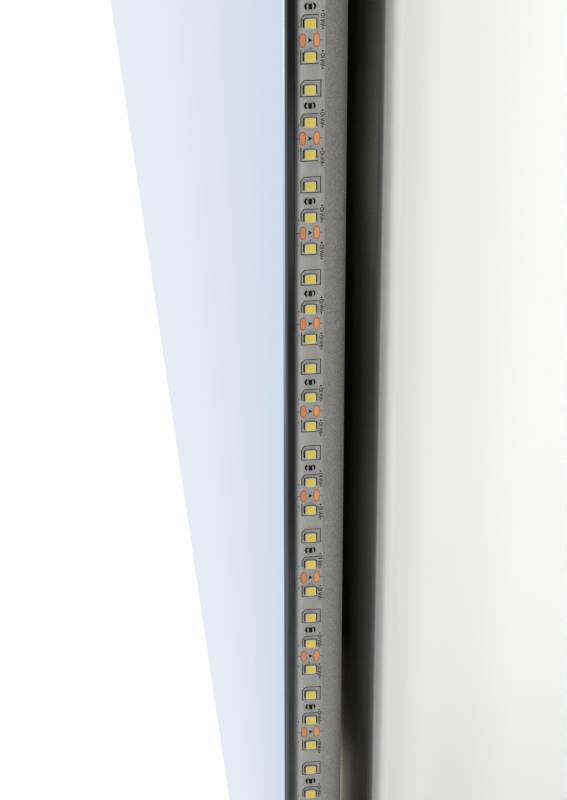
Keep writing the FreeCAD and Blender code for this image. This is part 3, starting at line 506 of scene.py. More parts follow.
def on_tape(side, along):
    """The place of a printed part or a lamp, with the tape's stray."""
    return on_side(side, along, TAPE_Y + stray(side, along))


class Collector:
    """Corners and faces of one piece; each face keeps the number of its finish."""

    def __init__(self):
        self.points = []
        self.faces = []
        self.kinds = []

    def add(self, put, part, kind):
        """Adds a part, given as corners and faces, at a place; kind is one number or one for each face."""
        corners, faces = part
        first = len(self.points)
        self.points += [put(*corner) for corner in corners]
        self.faces += [[first + index for index in face] for face in faces]
        self.kinds += kind if isinstance(kind, list) else [kind] * len(faces)

    def piece(self, name, finishes, body, replaced):
        """Makes the object, gives it its finishes and hides the part that it stands for."""
        mesh = bpy.data.meshes.new(name)
        mesh.from_pydata(self.points, [], self.faces)
        for finish in finishes:
            mesh.materials.append(finish.material)
        mesh.polygons.foreach_set("material_index", self.kinds)
        mesh.update()
        made = bpy.data.objects.new(name, mesh)
        scene.collection.objects.link(made)
        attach(made, body)
        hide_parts(replaced)


def stack(rings):
    """A closed solid through rings, each an outline and its level, of equal corner count."""
    count = len(rings[0][0])
    corners = [(a, u, level) for points, level in rings for a, u in points]
    faces = [list(range(count))[::-1]]
    for ring in range(len(rings) - 1):
        base = ring * count
        for index in range(count):
            after = (index + 1) % count
            faces.append([base + index, base + after, base + count + after, base + count + index])
    faces.append([(len(rings) - 1) * count + index for index in range(count)])
    return corners, faces


def plate(outline, low, high, edge=0.0):
    """A flat plate from an outline (a, u) with softened upper edges."""
    if edge == 0.0:
        return stack([(outline, low), (outline, high)])
    count = len(outline)
    mid_a = sum(a for a, u in outline) / count
    mid_u = sum(u for a, u in outline) / count
    share_a = 1 - edge / max(abs(a - mid_a) for a, u in outline)
    share_u = 1 - edge / max(abs(u - mid_u) for a, u in outline)
    top = [(mid_a + (a - mid_a) * share_a, mid_u + (u - mid_u) * share_u) for a, u in outline]
    return stack([(outline, low), (outline, high - edge), (top, high)])


def rectangle(a0, a1, u0, u1):
    """The outline of a plain rectangle."""
    return [(a0, u0), (a1, u0), (a1, u1), (a0, u1)]


CORNER_STEPS = 3


def rounded(half_a, half_u, radius, mid=(0.0, 0.0)):
    """A rectangle with round corners, anticlockwise from outside."""
    points = []
    for index, (sign_a, sign_u) in enumerate(((1, -1), (1, 1), (-1, 1), (-1, -1))):
        centre_a = mid[0] + sign_a * (half_a - radius)
        centre_u = mid[1] + sign_u * (half_u - radius)
        for step in range(CORNER_STEPS + 1):
            angle = math.radians(-90 + 90 * index + 90 * step / CORNER_STEPS)
            points.append((centre_a + radius * math.cos(angle), centre_u + radius * math.sin(angle)))
    return points


SHARPEST_MITRE = 0.35


def line(points, width, low, high, closed=False):
    """A printed line of even width through the points, with mitred turns."""
    count = len(points)
    corners = []
    for index, (a, u) in enumerate(points):
        before = points[index - 1] if index or closed else None
        after = points[(index + 1) % count] if index < count - 1 or closed else None
        sides = []
        for start, end in ((before, (a, u)), ((a, u), after)):
            if start is not None and end is not None:
                run = Vector((end[0] - start[0], end[1] - start[1])).normalized()
                sides.append(Vector((-run.y, run.x)))
        across = sum(sides, Vector((0, 0))).normalized()
        reach = width / 2 / max(SHARPEST_MITRE, across.dot(sides[0]))
        for sign in (1, -1):
            for level in (low, high):
                corners.append((a + across.x * reach * sign, u + across.y * reach * sign, level))
    faces = []
    spans = count if closed else count - 1
    for index in range(spans):
        here = index * 4
        there = (index + 1) % count * 4
        for one, two in ((1, 3), (3, 2), (2, 0), (0, 1)):
            faces.append([here + one, here + two, there + two, there + one])
    if not closed:
        last = (count - 1) * 4
        faces += [[0, 2, 3, 1], [last + 1, last + 3, last + 2, last]]
    return corners, faces


# %% [markdown]
# ## The light tape
#
# A flexible circuit board, white, seen here with its lamps off; its grey tone is painted
# shade, darkest right behind the glass. Every 25 mm it can be cut: two bare copper pads lie
# across each cut line, with a small arrow between them. Between cuts sit three lamps and
# one resistor, each inside printed lines.
# All this could be a picture on a flat strip, but real shapes stay sharp this close.

# %% Tape finishes
TAPE_EDGES = (-0.02245, -0.01545)
SHADOW_WIDE = 0.0015
SHADOW_SPAN = (-0.52, -0.345)
board = Finish("tape_board", rough=0.5, level=0.3)
weave = board.noise(0.22, detail=4.0)
across_tape = board.spread(board.axis(1), *TAPE_EDGES)
# Painted shade across the tape: dark by the glass, lightest a little way in, greyer toward the frame.
board_shaded_tone = board.ramp(
    across_tape,
    [
        (0.0, (0.20, 0.20, 0.20)),
        (0.035, (0.26, 0.26, 0.26)),
        (0.10, (0.56, 0.56, 0.55)),
        (0.155, (0.67, 0.67, 0.655)),
        (0.27, (0.60, 0.595, 0.58)),
        (0.386, (0.53, 0.525, 0.51)),
        (0.5, (0.465, 0.461, 0.452)),
        (0.73, (0.40, 0.395, 0.385)),
        (0.82, (0.42, 0.415, 0.405)),
        (1.0, (0.355, 0.351, 0.34)),
    ],
)
# High up, the strip right behind the glass lies in its shadow.
from_glass = board.spread(board.axis(1), TAPE_EDGES[0], TAPE_EDGES[0] + SHADOW_WIDE)
shade_across = board.ramp(from_glass, [(0.0, 1.0), (0.12, 0.92), (0.36, 0.5), (0.65, 0.2), (1.0, 0.0)])
shade_along = board.ramp(board.spread(board.axis(2), *SHADOW_SPAN), [(0.0, 0.0), (0.7, 0.45), (1.0, 1.0)])
in_shadow = board.sum("MULTIPLY", shade_across, shade_along)
board_shaded_tone = board.mix(in_shadow, board_shaded_tone, (0.03, 0.03, 0.032))
weave_tone = board.ramp(weave, [(0.3, 0.3), (0.7, 0.7)])
board.to("Base Color", board.mix(0.5, board_shaded_tone, weave_tone, "OVERLAY"))
board.bump(weave, 0.004)
copper = Finish("pad_copper", rough=0.38, metal=0.1)
copper_grain = copper.noise(0.5, detail=3.0)
copper.to("Base Color", copper.ramp(copper_grain, [(0.3, (0.84, 0.32, 0.13)), (0.7, (0.95, 0.41, 0.18))]))
copper.bump(copper_grain, 0.01)
copper_rim = grained("pad_rim", (0.52, 0.16, 0.06), (0.40, 0.11, 0.04), 0.3, 0.5, depth=0.006)
ink = grained("black_ink", (0.007, 0.007, 0.008), (0.003, 0.003, 0.003), 0.15, 0.8, depth=0.002, level=0.15)
print("tape finishes:", board.material.name, copper.material.name, ink.material.name)

# %% [markdown]
# ## The printing on the tape
#
# The ink stands about a hundredth of a millimetre above the board, so every line here is a
# thin raised band with square sides. One 25 mm stretch holds a set of lines round its lamps
# and its resistor, and the same set is laid down again and again along the strip. The lines
# could be part of the board's material, but a mitred band is easier to draw to measure.

# %% Tape marks
INK_LOW = TAPE_TOP - 0.03
INK_HIGH = TAPE_TOP + 0.012
PAD_HIGH = TAPE_TOP + 0.025
BARE_HIGH = TAPE_TOP + 0.04
LINE = 0.22
BOLD = 0.48
PADS = ((-1.76, 0.84), (1.60, 0.82))
PAD_HALF_LONG = 1.80
CUT_SHIFT = 0.14
PAD_BARE = 0.76
THIRD = CUT / 3
MARGIN = 2.85
CHIP_SPOTS = (THIRD * 0.5, THIRD * 1.5, THIRD * 2.5)
RESISTOR_SPOT = THIRD * 2


def shifted(points, along):
    """The same points moved along the tape."""
    return [(a + along, u) for a, u in points]


MIDDLE_OUTLINE = [(-1.25, -2.15), (-2.25, -1.35), (-2.25, 2.6), (1.85, 2.6), (1.85, -2.15), (-1.25, -2.15)]
BRACKET_STEPS = 8


def stretch_marks():
    """The printed lines of one 25 mm stretch that starts at a cut line."""
    first, second, third = CHIP_SPOTS
    lines = [
        shifted([(-1.75, -2.15), (1.85, -2.15), (1.85, 2.05)], first),
        shifted(MIDDLE_OUTLINE, second),
        shifted([(1.1, -2.1), (-1.0, -2.1), (-2.05, -1.4), (-2.05, 2.1)], third),
    ]
    parts = []
    for points in lines:
        closed = points[0] == points[-1]
        parts.append(line(points[:-1] if closed else points, LINE, INK_LOW, INK_HIGH, closed))
    for sign in (-1, 1):
        bracket = []
        for step in range(BRACKET_STEPS + 1):
            angle = math.radians(-70 + 140 * step / BRACKET_STEPS)
            bracket.append((RESISTOR_SPOT + 0.76 * math.sin(angle), sign * (0.42 + 0.74 * math.cos(angle))))
        parts.append(line(bracket, BOLD, INK_LOW, INK_HIGH))
    return parts


def dot(a, u, reach):
    """A round printed dot."""
    return plate(rounded(reach, reach, reach * 0.95, (a, u)), INK_LOW, INK_HIGH)


def margin_marks():
    """Dots and small plain zigzags in the margin beside the lamps next to a cut."""
    parts = []
    for start in (CHIP_SPOTS[0] - 1.2, CHIP_SPOTS[2] - 2.9):
        parts.append(dot(start, MARGIN, 0.23))
        parts.append(dot(start + 4.35, MARGIN, 0.21))
        ring = rounded(0.32, 0.44, 0.30, (start + 0.95, MARGIN))
        parts.append(line(ring, 0.18, INK_LOW, INK_HIGH, True))
        stroke = [(start + 1.6, MARGIN - 0.46), (start + 1.6, MARGIN + 0.46)]
        parts.append(line(stroke, 0.19, INK_LOW, INK_HIGH))
        for group in (2.1, 3.1):
            zigzag = [(start + group + 0.28 * step, MARGIN + 0.44 * (-1) ** step) for step in range(4)]
            parts.append(line(zigzag, 0.18, INK_LOW, INK_HIGH))
    for lamp in (CHIP_SPOTS[0] - 0.9, CHIP_SPOTS[2] + 0.75):
        parts.append(line([(lamp - 0.22, -2.72), (lamp + 0.22, -2.72)], 0.2, INK_LOW, INK_HIGH))
    parts.append(dot(CHIP_SPOTS[0] - 2.05, 0.12, 0.17))
    return parts


TICKS = ((-3.3, -2.6), (2.45, 3.0))


def cut_marks():
    """A small arrow between the pads and a tick outside each pad, on the cut line."""
    arrow = plate([(-0.66, -0.50), (0.0, 0.58), (0.66, -0.50), (0.0, -0.30)], INK_LOW, INK_HIGH)
    ticks = [line([(0.0, low), (0.0, high)], 0.15, INK_LOW, INK_HIGH) for low, high in TICKS]
    return [arrow] + ticks


# %% [markdown]
# ## Laying the four strips
#
# The copper pads stand a little above the board, with a darker rim where the lacquer ends.
# Where a strip begins or ends, only half a pad is left, because the tape was cut there. One
# strip could be bent round all four sides, but the real ones end at the corners, so each
# side gets its own strip from the same parts, turned and moved.

# %% Tape strips
STRETCH_PARTS = stretch_marks()
MARGIN_PARTS = margin_marks()
CUT_PARTS = cut_marks()


def oval(half_a, half_u, mid_u, steps=20, fullness=0.78):
    """A round-cornered oval, anticlockwise from outside."""
    points = []
    for step in range(steps):
        angle = 2 * math.pi * step / steps
        reach_a = math.copysign(abs(math.cos(angle)) ** fullness, math.cos(angle))
        reach_u = math.copysign(abs(math.sin(angle)) ** fullness, math.sin(angle))
        points.append((half_a * reach_a, mid_u + half_u * reach_u))
    return points


PAD_RIM = 0.22
HALF_PAD_START = 0.06
BARE_HALF_LONG = PAD_HALF_LONG - PAD_RIM
STRIP_WIDTH = (-3.5, 3.54)
PAD_PLATES = [(oval(PAD_HALF_LONG, half, middle), PAD_HIGH, 3) for middle, half in PADS]
PAD_PLATES += [(oval(BARE_HALF_LONG, half * PAD_BARE, middle), BARE_HIGH, 1) for middle, half in PADS]

for side in SIDE_TURN:
    strip = Collector()
    start = STARTS[side]
    length = CUTS[side] * CUT
    base = plate(rectangle(0, length, *STRIP_WIDTH), TAPE_FLOOR, TAPE_TOP, 0.02)
    strip.add(on_side(side, start), base, 0)
    for step in range(CUTS[side] + 1):
        whole = 0 < step < CUTS[side]
        put = on_tape(side, start + step * CUT + (CUT_SHIFT if whole else 0.0))
        for outline, high, kind in PAD_PLATES:
            if not whole:
                keep = 1 if step == 0 else -1
                outline = [(keep * max(a * keep, HALF_PAD_START), u) for a, u in outline]
            strip.add(put, plate(outline, INK_LOW, high, 0.01), kind)
        if whole:
            for part in CUT_PARTS:
                strip.add(put, part, 2)
        if step < CUTS[side]:
            put = on_tape(side, start + step * CUT)
            for part in STRETCH_PARTS:
                strip.add(put, part, 2)
            put = on_side(side, start + step * CUT)
            for part in MARGIN_PARTS:
                strip.add(put, part, 2)
    finishes = [board, copper, ink, copper_rim]
    strip.piece("tape_" + side, finishes, "mirror", "led_tape_" + side)
    print(side, "tape:", len(strip.faces), "faces")

# %% [markdown]
# ## The lamps
#
# Each lamp is a white moulded package, 3.5 x 2.8 mm, with a shallow well filled with
# yellow phosphor and a tinned contact at each end. The phosphor is poured as a drop, so it
# stands highest and looks deepest over the chip in the middle. That middle, the window
# round it, the package's top, its sides and the contacts each have a finish of their own;
# the sides are a darker copy of the top, painted shade, and the contacts are drawn near black.
# A box with a yellow patch could do, but outlines stacked into walls, rim and well also give
# the small shadows inside.

# %% Lamp finishes
package = grained("lamp_package", (0.84, 0.79, 0.50), (0.72, 0.67, 0.38), 0.3, 0.4, depth=0.003)
# Painted shade: the package's sides are a darker copy of its top.
package_side_shade = grained("lamp_side_shade", (0.36, 0.32, 0.19), (0.26, 0.22, 0.13), 0.3, 0.5, depth=0.003)


def phosphor_finish(name, light, dark):
    """Cured resin full of fine powder."""
    made = Finish(name, rough=0.32, level=0.5)
    specks = made.noise(0.14, detail=2.0)
    made.to("Base Color", made.ramp(specks, [(0.3, dark), (0.7, light)]))
    made.bump(specks, 0.006)
    return made


phosphor = phosphor_finish("phosphor", (0.97, 0.83, 0.20), (0.86, 0.71, 0.13))
phosphor_deep = phosphor_finish("phosphor_deep", (0.99, 0.80, 0.075), (0.90, 0.66, 0.045))
# The contacts are drawn near black.
tin = grained("near_black_contact", (0.016, 0.016, 0.016), (0.008, 0.008, 0.008), 0.2, 0.5, metal=0.2, depth=0.004)

# %% Lamps
LAMP_TOP = TAPE_TOP + 0.74
LAMP_SHOULDER = LAMP_TOP - 0.05
WELL_FLOOR = LAMP_TOP - 0.16
CONTACT_HIGH = TAPE_TOP + 0.5
CONTACTS = ((-1.66, -1.33), (1.33, 1.66))


def scaled(points, share):
    """The same outline drawn smaller round its middle."""
    return [(a * share, u * share) for a, u in points]


def lamp_parts():
    """The package's walls, its rim and well, the phosphor in it and the two contacts."""
    outer = rounded(1.32, 1.36, 0.42)
    rim = rounded(1.07, 1.14, 0.46)
    well = rounded(0.99, 1.07, 0.42)
    heart = rounded(0.60, 0.66, 0.45)
    shoulder = scaled(outer, 0.97)
    walls = [(outer, TAPE_TOP), (outer, LAMP_SHOULDER)]
    shell = stack(walls + [(shoulder, LAMP_TOP), (rim, LAMP_TOP), (well, WELL_FLOOR)])
    shell_kinds = [3] * (1 + len(outer)) + [0] * (3 * len(outer) + 1)
    drop = scaled(well, 0.72)
    window = stack([(well, LAMP_TOP - 0.17), (well, LAMP_TOP - 0.13), (drop, LAMP_TOP - 0.09)])
    crown = scaled(heart, 0.5)
    middle = stack([(heart, LAMP_TOP - 0.12), (heart, LAMP_TOP - 0.085), (crown, LAMP_TOP - 0.06)])
    parts = [(shell, shell_kinds), (window, 1), (middle, 4)]
    for low, high in CONTACTS:
        parts.append((plate(rectangle(-1.0, 1.0, low, high), TAPE_TOP, CONTACT_HIGH, 0.06), 2))
    return parts


LAMP_PARTS = lamp_parts()
for side in SIDE_TURN:
    lamps = Collector()
    for step in range(CUTS[side]):
        for spot in CHIP_SPOTS:
            put = on_tape(side, STARTS[side] + step * CUT + spot)
            for part, kind in LAMP_PARTS:
                lamps.add(put, part, kind)
    finishes = [package, phosphor, tin, package_side_shade, phosphor_deep]
    lamps.piece("lamps_" + side, finishes, "mirror", "led_chips_" + side)

# %% [markdown]
# ## The resistors
#
# One to each 25 mm stretch, to hold back the current through its three lamps: a black
# ceramic block with pale tinned ends, soldered between two printed brackets. A bevel could
# soften the blocks; here each is a plate whose upper edge steps in, like the tape's others.

# %% Resistors
BLACK_LIGHT = (0.008, 0.008, 0.009)
BLACK_DARK = (0.003, 0.003, 0.003)
ceramic = grained("resistor_black", BLACK_LIGHT, BLACK_DARK, 0.2, 0.7, depth=0.004, level=0.15)
tinned = grained("tinned_end", (0.50, 0.50, 0.48), (0.36, 0.36, 0.35), 0.2, 0.4, metal=0.5, depth=0.004)
RESISTOR_HALF = 0.62
BLOCK_TOP = TAPE_TOP + 0.48
END_TOP = TAPE_TOP + 0.5
ENDS = ((-0.80, -0.44), (0.44, 0.80))
resistors = Collector()
middle_block = plate(rectangle(-RESISTOR_HALF, RESISTOR_HALF, -0.44, 0.44), TAPE_TOP, BLOCK_TOP, 0.05)
end_blocks = [
    plate(rectangle(-RESISTOR_HALF, RESISTOR_HALF, low, high), TAPE_TOP, END_TOP, 0.05)
    for low, high in ENDS
]
for side in SIDE_TURN:
    for step in range(CUTS[side]):
        put = on_tape(side, STARTS[side] + step * CUT + RESISTOR_SPOT)
        resistors.add(put, middle_block, 0)
        for block in end_blocks:
            resistors.add(put, block, 1)
resistors.piece("tape_resistor_row", [ceramic, tinned], "mirror", "tape_resistors")
print("lamps", 3 * sum(CUTS.values()), "resistors", sum(CUTS.values()))

# %% [markdown]
# ## The metal pieces on the back
#
# Screws are zinc-plated and shine evenly. The rails are bent from galvanised sheet, whose
# zinc froze in flat crystals about a centimetre across, each a shade lighter or darker. A
# noise could tint them too, but only cells have the crystals' straight borders.

# %% Metals
zinc = grained("zinc_screw", (0.66, 0.67, 0.69), (0.50, 0.51, 0.53), 0.4, 0.32, metal=0.9, depth=0.005)
dress(
    zinc,
    "corner_key_screws",
    "standoff_screws",
    "rail_screws",
    "driver_lid_screws",
    "terminal_lid_screws",
    "terminal_screws",
)
key_alloy = grained("key_alloy", (0.62, 0.63, 0.64), (0.50, 0.51, 0.52), 0.6, 0.5, metal=0.8, depth=0.02)
dress(key_alloy, "corner_keys")
solder = grained("solder", (0.74, 0.74, 0.73), (0.60, 0.60, 0.60), 0.5, 0.25, metal=0.9, depth=0.02)
dress(solder, "solder_joints")
galvanised = Finish("galvanised", rough=0.42, metal=0.85)
spangle = galvanised.cells(9.0)
SPANGLE_STOPS = [(0.1, (0.46, 0.47, 0.49)), (0.9, (0.64, 0.65, 0.67))]
galvanised.to("Base Color", galvanised.ramp(spangle.outputs["Color"], SPANGLE_STOPS))
galvanised.to("Roughness", galvanised.spread(spangle.outputs["Distance"], 0.0, 0.8, 0.36, 0.5))
galvanised.bump(galvanised.noise(0.8), 0.008)
dress(galvanised, "wall_rail", "hanger_rail", "lower_bar")
print("hanger rail height: %.0f mm" % (nodes["hanger_rail"].dimensions.z / MM))

# %% [markdown]
# ## Plastic, rubber, felt and foam
#
# Moulded boxes are satin with a barely visible texture. Rubber is almost black and dull,
# felt is duller still and rough to the touch, and foam is cut open, so its bubbles show.
# The driver's own parts sit under the lid, and get their true colours all the same. Plain
# colours could serve for pieces so well hidden, but the recipe takes only one line for each.

# %% Plastics, rubber, felt and foam
moulded = grained("box_plastic", (0.80, 0.80, 0.77), (0.74, 0.74, 0.71), 0.5, 0.55, depth=0.02)
dress(moulded, "driver_case", "driver_lid", "terminal_box", "terminal_lid")
nylon = grained("clear_nylon", (0.84, 0.83, 0.77), (0.76, 0.75, 0.69), 0.6, 0.45, depth=0.01)
dress(nylon, "terminal_block", "lead_saddles")
rubber = grained("black_rubber", (0.035, 0.035, 0.036), (0.020, 0.020, 0.021), 0.4, 0.7, depth=0.02)
dress(rubber, "rubber_bumpers", "lead_glands", "mains_inlet_gland", "frame_grommet")
jacket = grained("lead_jacket", (0.82, 0.82, 0.80), (0.76, 0.76, 0.74), 0.5, 0.45, depth=0.006)
dress(jacket, "box_link_lead", "tape_feed_lead")
wire = grained("wire_skin", (0.52, 0.035, 0.03), (0.40, 0.02, 0.02), 0.3, 0.4, depth=0.004)
dress(wire, "corner_jumper_wires", "feed_tails")
bond = grained("white_bond", (0.82, 0.82, 0.80), (0.72, 0.72, 0.70), 0.8, 0.85, depth=0.02)
dress(bond, "glass_bond_strips")
film = grained("grey_film", (0.36, 0.37, 0.39), (0.31, 0.32, 0.34), 1.2, 0.5, depth=0.01)
dress(film, "safety_film")
felt = grained("wall_felt", 0.20, 0.09, 0.25, 0.95, depth=0.12, stretch=(1, 1, 3))
dress(felt, "wall_felts")
foam = Finish("grey_foam", rough=0.95)
bubbles = foam.cells(0.6)
foam.to("Base Color", foam.ramp(bubbles.outputs["Distance"], [(0.0, 0.05), (0.6, 0.14)]))
foam.bump(bubbles.outputs["Distance"], 0.1)
dress(foam, "box_cushions")
board_green = grained("green_board", (0.035, 0.20, 0.075), (0.02, 0.13, 0.045), 1.5, 0.3, depth=0.02)
dress(board_green, "driver_board")
winding = grained("winding_tape", (0.74, 0.54, 0.07), (0.60, 0.42, 0.04), 0.8, 0.4, depth=0.02)
dress(winding, "driver_transformer")
sleeve = grained("can_sleeve", (0.040, 0.050, 0.095), (0.025, 0.03, 0.06), 0.6, 0.3, depth=0.004)
dress(sleeve, "driver_capacitors")
print(len(bpy.data.materials), "finishes so far")

# %% [markdown]
# ## The room: wall, floor and light
#
# The object hangs on a pale wall above a pale floor. The wall has an opening exactly
# behind the mirror, where nobody can see it from the room, so that daylight also reaches
# the pieces on the back. Seen from behind or from below, wall and floor are clear. The
# bands of shadow on the wall could be left to the lamps, but much of the room that casts
# them lies outside the picture, so the paint's tone follows the distance from the rails.

# %% Stage
WALL_Y = 0.0004
WALL_HALF = 3.2
WALL_TOP = 1.6
FLOOR_Z = -1.9
FLOOR_HALF = 9.0
FLOOR_FRONT = -12.0
OPENING_X = (-0.57, 0.57)
OPENING_Z = (-0.67, 0.07)


def stage_sheet(name, points, faces, material):
    """A flat sheet that belongs to the room, not to the object."""
    mesh = bpy.data.meshes.new(name)
    mesh.from_pydata(points, [], faces)
    mesh.materials.append(material)
    sheet = bpy.data.objects.new(name, mesh)
    scene.collection.objects.link(sheet)


def stage_finish(name, tone, camera_glow, mirror_tone=None):
    """A plain pale surface; clear from behind, with its own colour in the mirror.

    Tone and camera glow are numbers, or functions that make them from the place.
    """
    made = Finish(name)
    tree = made.tree
    tree.nodes.remove(made.shader)
    output = tree.nodes["Material Output"]
    path = made.node("LightPath")
    diffuse = made.node("BsdfDiffuse", Color=tone(made) if callable(tone) else as_colour(tone))
    glow = made.node("Emission", Color=as_colour(1.0))
    shine = camera_glow(made) if callable(camera_glow) else camera_glow
    tree.links.new(made.sum("MULTIPLY", path.outputs["Is Camera Ray"], shine), glow.inputs["Strength"])
    plain = made.node("AddShader")
    tree.links.new(diffuse.outputs[0], plain.inputs[0])
    tree.links.new(glow.outputs[0], plain.inputs[1])
    surface = plain.outputs[0]
    if mirror_tone is not None:
        reflected = made.node("Emission", Color=mirror_tone(made), Strength=1.0)
        mixed = made.node("MixShader")
        tree.links.new(path.outputs["Is Glossy Ray"], mixed.inputs[0])
        tree.links.new(surface, mixed.inputs[1])
        tree.links.new(reflected.outputs[0], mixed.inputs[2])
        surface = mixed.outputs[0]
    clear = made.node("BsdfTransparent")
    behind = made.node("NewGeometry")
    shown = made.node("MixShader")
    tree.links.new(behind.outputs["Backfacing"], shown.inputs[0])
    tree.links.new(surface, shown.inputs[1])
    tree.links.new(clear.outputs[0], shown.inputs[2])
    tree.links.new(shown.outputs[0], output.inputs["Surface"])
    return made.material


# The mirror shows the floor: palest straight along the wall, bluer away from it.
FAN_FROM = (-0.542, -0.151)
FAN_STOPS = [
    (0.0, (0.640, 0.725, 0.825)),
    (0.25, (0.700, 0.755, 0.850)),
    (0.47, (0.750, 0.785, 0.882)),
    (0.70, (0.792, 0.825, 0.915)),
    (1.0, (0.805, 0.838, 0.915)),
]
FAN_WIDTH = math.radians(5.9)


def fan_tone(made):
    """What the mirror shows, by the angle round one point on the floor."""
    along = made.sum("SUBTRACT", FAN_FROM[0], made.axis(0))
    away = made.sum("SUBTRACT", made.axis(1), FAN_FROM[1])
    angle = made.sum("ARCTAN2", away, along)
    return made.ramp(made.spread(angle, -FAN_WIDTH, 0.0), FAN_STOPS, "EASE")


# How the wall brightens away from the dark rails, by distance from them in metres.
RAIL_HALF_WIDE = 0.5825
RAIL_HALF_HIGH = 0.3825
WALL_REACH = (-0.010, 0.190)
WALL_STOPS = [
    (-0.010, 0.05),
    (-0.001, 0.08),
    (0.001, 0.93),
    (0.005, 0.88),
    (0.011, 0.79),
    (0.014, 0.85),
    (0.018, 0.93),
    (0.026, 0.93),
    (0.032, 0.83),
    (0.052, 0.80),
    (0.066, 0.85),
    (0.080, 0.875),
    (0.110, 0.875),
    (0.140, 0.89),
    (0.180, 0.95),
]
GLOW_STOPS = [
    (-0.010, 0.045),
    (-0.005, 0.06),
    (-0.0015, 0.11),
    (0.0, 0.13),
    (0.002, 0.12),
    (0.005, 0.05),
    (0.008, 0.0),
]
DIM_SLOPE = 0.75
DIM_RANGE = (-1.40, -0.92)
DIM_STOPS = [(0.0, 0.0), (0.55, 0.10), (0.79, 0.15), (0.84, 0.135), (0.905, 0.045), (1.0, 0.0)]
DIM_SIDE = (0.60, 0.70)
WHITE_BELOW = (-0.94, -0.74)


def from_rails(made):
    """Distance outward from the dark rails' outline, in metres; below 0 behind the mirror."""
    wide = made.sum("SUBTRACT", made.sum("ABSOLUTE", made.axis(0)), RAIL_HALF_WIDE)
    level = made.sum("ABSOLUTE", made.sum("SUBTRACT", made.axis(2), MIDDLE_Z))
    high = made.sum("SUBTRACT", level, RAIL_HALF_HIGH)
    wide_out = made.sum("MAXIMUM", wide, 0.0)
    high_out = made.sum("MAXIMUM", high, 0.0)
    wide_square = made.sum("MULTIPLY", wide_out, wide_out)
    high_square = made.sum("MULTIPLY", high_out, high_out)
    squares = made.sum("ADD", wide_square, high_square)
    inside = made.sum("MINIMUM", made.sum("MAXIMUM", wide, high), 0.0)
    return made.sum("ADD", made.sum("SQRT", squares), inside)


def wall_share(made):
    """The same distance as a share of the reach that the stops cover."""
    return made.spread(from_rails(made), *WALL_REACH)


def wall_stops(stops, tint=(1.0, 1.0, 1.0)):
    """Stops by distance turned into stops by share, in the wall's tint."""
    low, high = WALL_REACH
    return [((place - low) / (high - low), tuple(value * part for part in tint)) for place, value in stops]


def wall_tone(made):
    """The paint: soft shadow bands round the rails, and a dim corner low on the right."""
    near_rails = made.ramp(wall_share(made), wall_stops(WALL_STOPS, (1.0, 1.0, 0.985)))
    slant = made.sum("SUBTRACT", made.axis(2), made.sum("MULTIPLY", made.axis(0), DIM_SLOPE))
    lower = made.ramp(made.spread(slant, *DIM_RANGE), DIM_STOPS)
    right = made.spread(made.axis(0), *DIM_SIDE)
    return made.mix(made.sum("MULTIPLY", lower, right), near_rails, (0.0, 0.0, 0.0))


def wall_glow(made):
    """A little light along the rails, and plain white well below the mirror."""
    edge = made.ramp(wall_share(made), wall_stops(GLOW_STOPS))
    below = made.spread(made.axis(2), *WHITE_BELOW, 0.5, 0.0)
    return made.sum("ADD", edge, below)


xs = (-WALL_HALF, *OPENING_X, WALL_HALF)
zs = (FLOOR_Z, *OPENING_Z, WALL_TOP)
wall_points = [(x, WALL_Y, z) for z in zs for x in xs]
wall_faces = [
    (row * 4 + column, row * 4 + column + 1, row * 4 + column + 5, row * 4 + column + 4)
    for row in range(3)
    for column in range(3)
    if not (row == 1 and column == 1)
]
stage_sheet("wall", wall_points, wall_faces, stage_finish("wall_paint", wall_tone, wall_glow))
floor_points = [
    (-FLOOR_HALF, FLOOR_FRONT, FLOOR_Z),
    (FLOOR_HALF, FLOOR_FRONT, FLOOR_Z),
    (FLOOR_HALF, WALL_Y, FLOOR_Z),
    (-FLOOR_HALF, WALL_Y, FLOOR_Z),
]
stage_sheet("floor", floor_points, [(0, 1, 2, 3)], stage_finish("floor_paint", 0.85, 0.6, fan_tone))
print("wall of", len(wall_faces), "panels round the opening")

# %% [markdown]
# ## Daylight
#
# An even pale sky lights everything, and one large soft lamp to the front right gives the
# frame and the lamps a lighter and a darker side. Where the camera looks past the room it
# meets plain white, and where a shiny face looks past it, a pale blue. One strong lamp
# could light it all, but its shadows would be harder than the photo's.

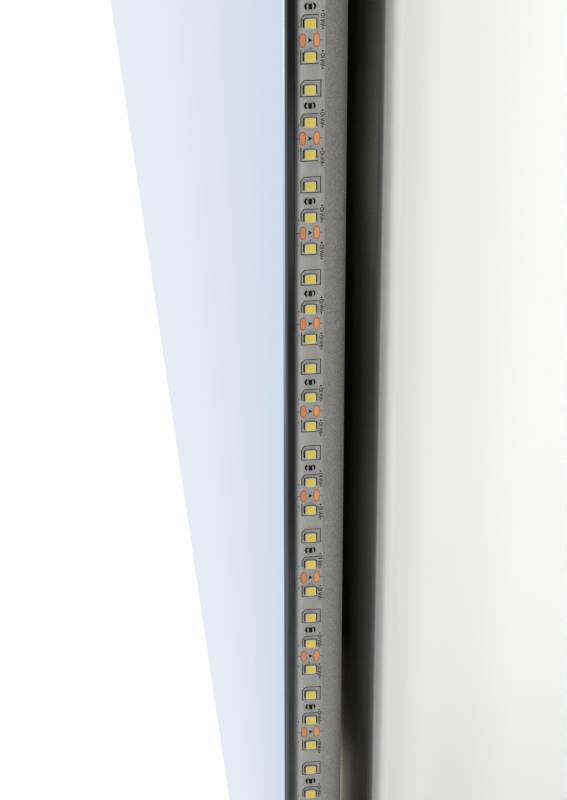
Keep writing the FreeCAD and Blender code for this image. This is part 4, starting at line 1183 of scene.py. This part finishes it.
# %% Daylight
SKY_POWER = 0.72
SKY_LOW = (0.640, 0.725, 0.825)
SKY_HIGH = (0.80, 0.835, 0.90)
SKY_SPAN = (-0.2, 0.7)
KEY_SIZE = 2.6
KEY_POWER = 40.0
KEY_PLACE = (2.0, -2.6, 0.9)
KEY_AIM = Vector((0.3, 0.0, -0.3))
world = bpy.data.worlds.new("daylight")
scene.world = world
world.use_nodes = True
sky = world.node_tree
sky.nodes.clear()
sky_out = sky.nodes.new("ShaderNodeOutputWorld")
sky_path = sky.nodes.new("ShaderNodeLightPath")
plain_sky = sky.nodes.new("ShaderNodeBackground")
plain_sky.inputs["Color"].default_value = as_colour(1.0)
plain_sky.inputs["Strength"].default_value = SKY_POWER
white_sky = sky.nodes.new("ShaderNodeBackground")
white_sky.inputs["Color"].default_value = as_colour(1.0)
direction = sky.nodes.new("ShaderNodeTexCoord")
split = sky.nodes.new("ShaderNodeSeparateXYZ")
sky.links.new(direction.outputs["Generated"], split.inputs[0])
tall = sky.nodes.new("ShaderNodeMapRange")
tall.inputs[1].default_value = SKY_SPAN[0]
tall.inputs[2].default_value = SKY_SPAN[1]
sky.links.new(split.outputs["Z"], tall.inputs[0])
sky_ramp = sky.nodes.new("ShaderNodeValToRGB")
sky_ramp.color_ramp.elements[0].color = as_colour(SKY_LOW)
sky_ramp.color_ramp.elements[1].color = as_colour(SKY_HIGH)
sky.links.new(tall.outputs[0], sky_ramp.inputs[0])
mirror_sky = sky.nodes.new("ShaderNodeBackground")
sky.links.new(sky_ramp.outputs[0], mirror_sky.inputs["Color"])
by_camera = sky.nodes.new("ShaderNodeMixShader")
by_mirror = sky.nodes.new("ShaderNodeMixShader")
sky.links.new(sky_path.outputs["Is Glossy Ray"], by_mirror.inputs[0])
sky.links.new(plain_sky.outputs[0], by_mirror.inputs[1])
sky.links.new(mirror_sky.outputs[0], by_mirror.inputs[2])
sky.links.new(sky_path.outputs["Is Camera Ray"], by_camera.inputs[0])
sky.links.new(by_mirror.outputs[0], by_camera.inputs[1])
sky.links.new(white_sky.outputs[0], by_camera.inputs[2])
sky.links.new(by_camera.outputs[0], sky_out.inputs[0])

key_light = bpy.data.lights.new("soft_key", "AREA")
key_light.size = KEY_SIZE
key_light.energy = KEY_POWER
key = bpy.data.objects.new("soft_key", key_light)
scene.collection.objects.link(key)
key.location = KEY_PLACE
aim = KEY_AIM - key.location
key.rotation_mode = "QUATERNION"
key.rotation_quaternion = aim.to_track_quat("-Z", "Y")
key.visible_camera = False
key.visible_glossy = False
print("soft key %.1f m from its aim" % aim.length)
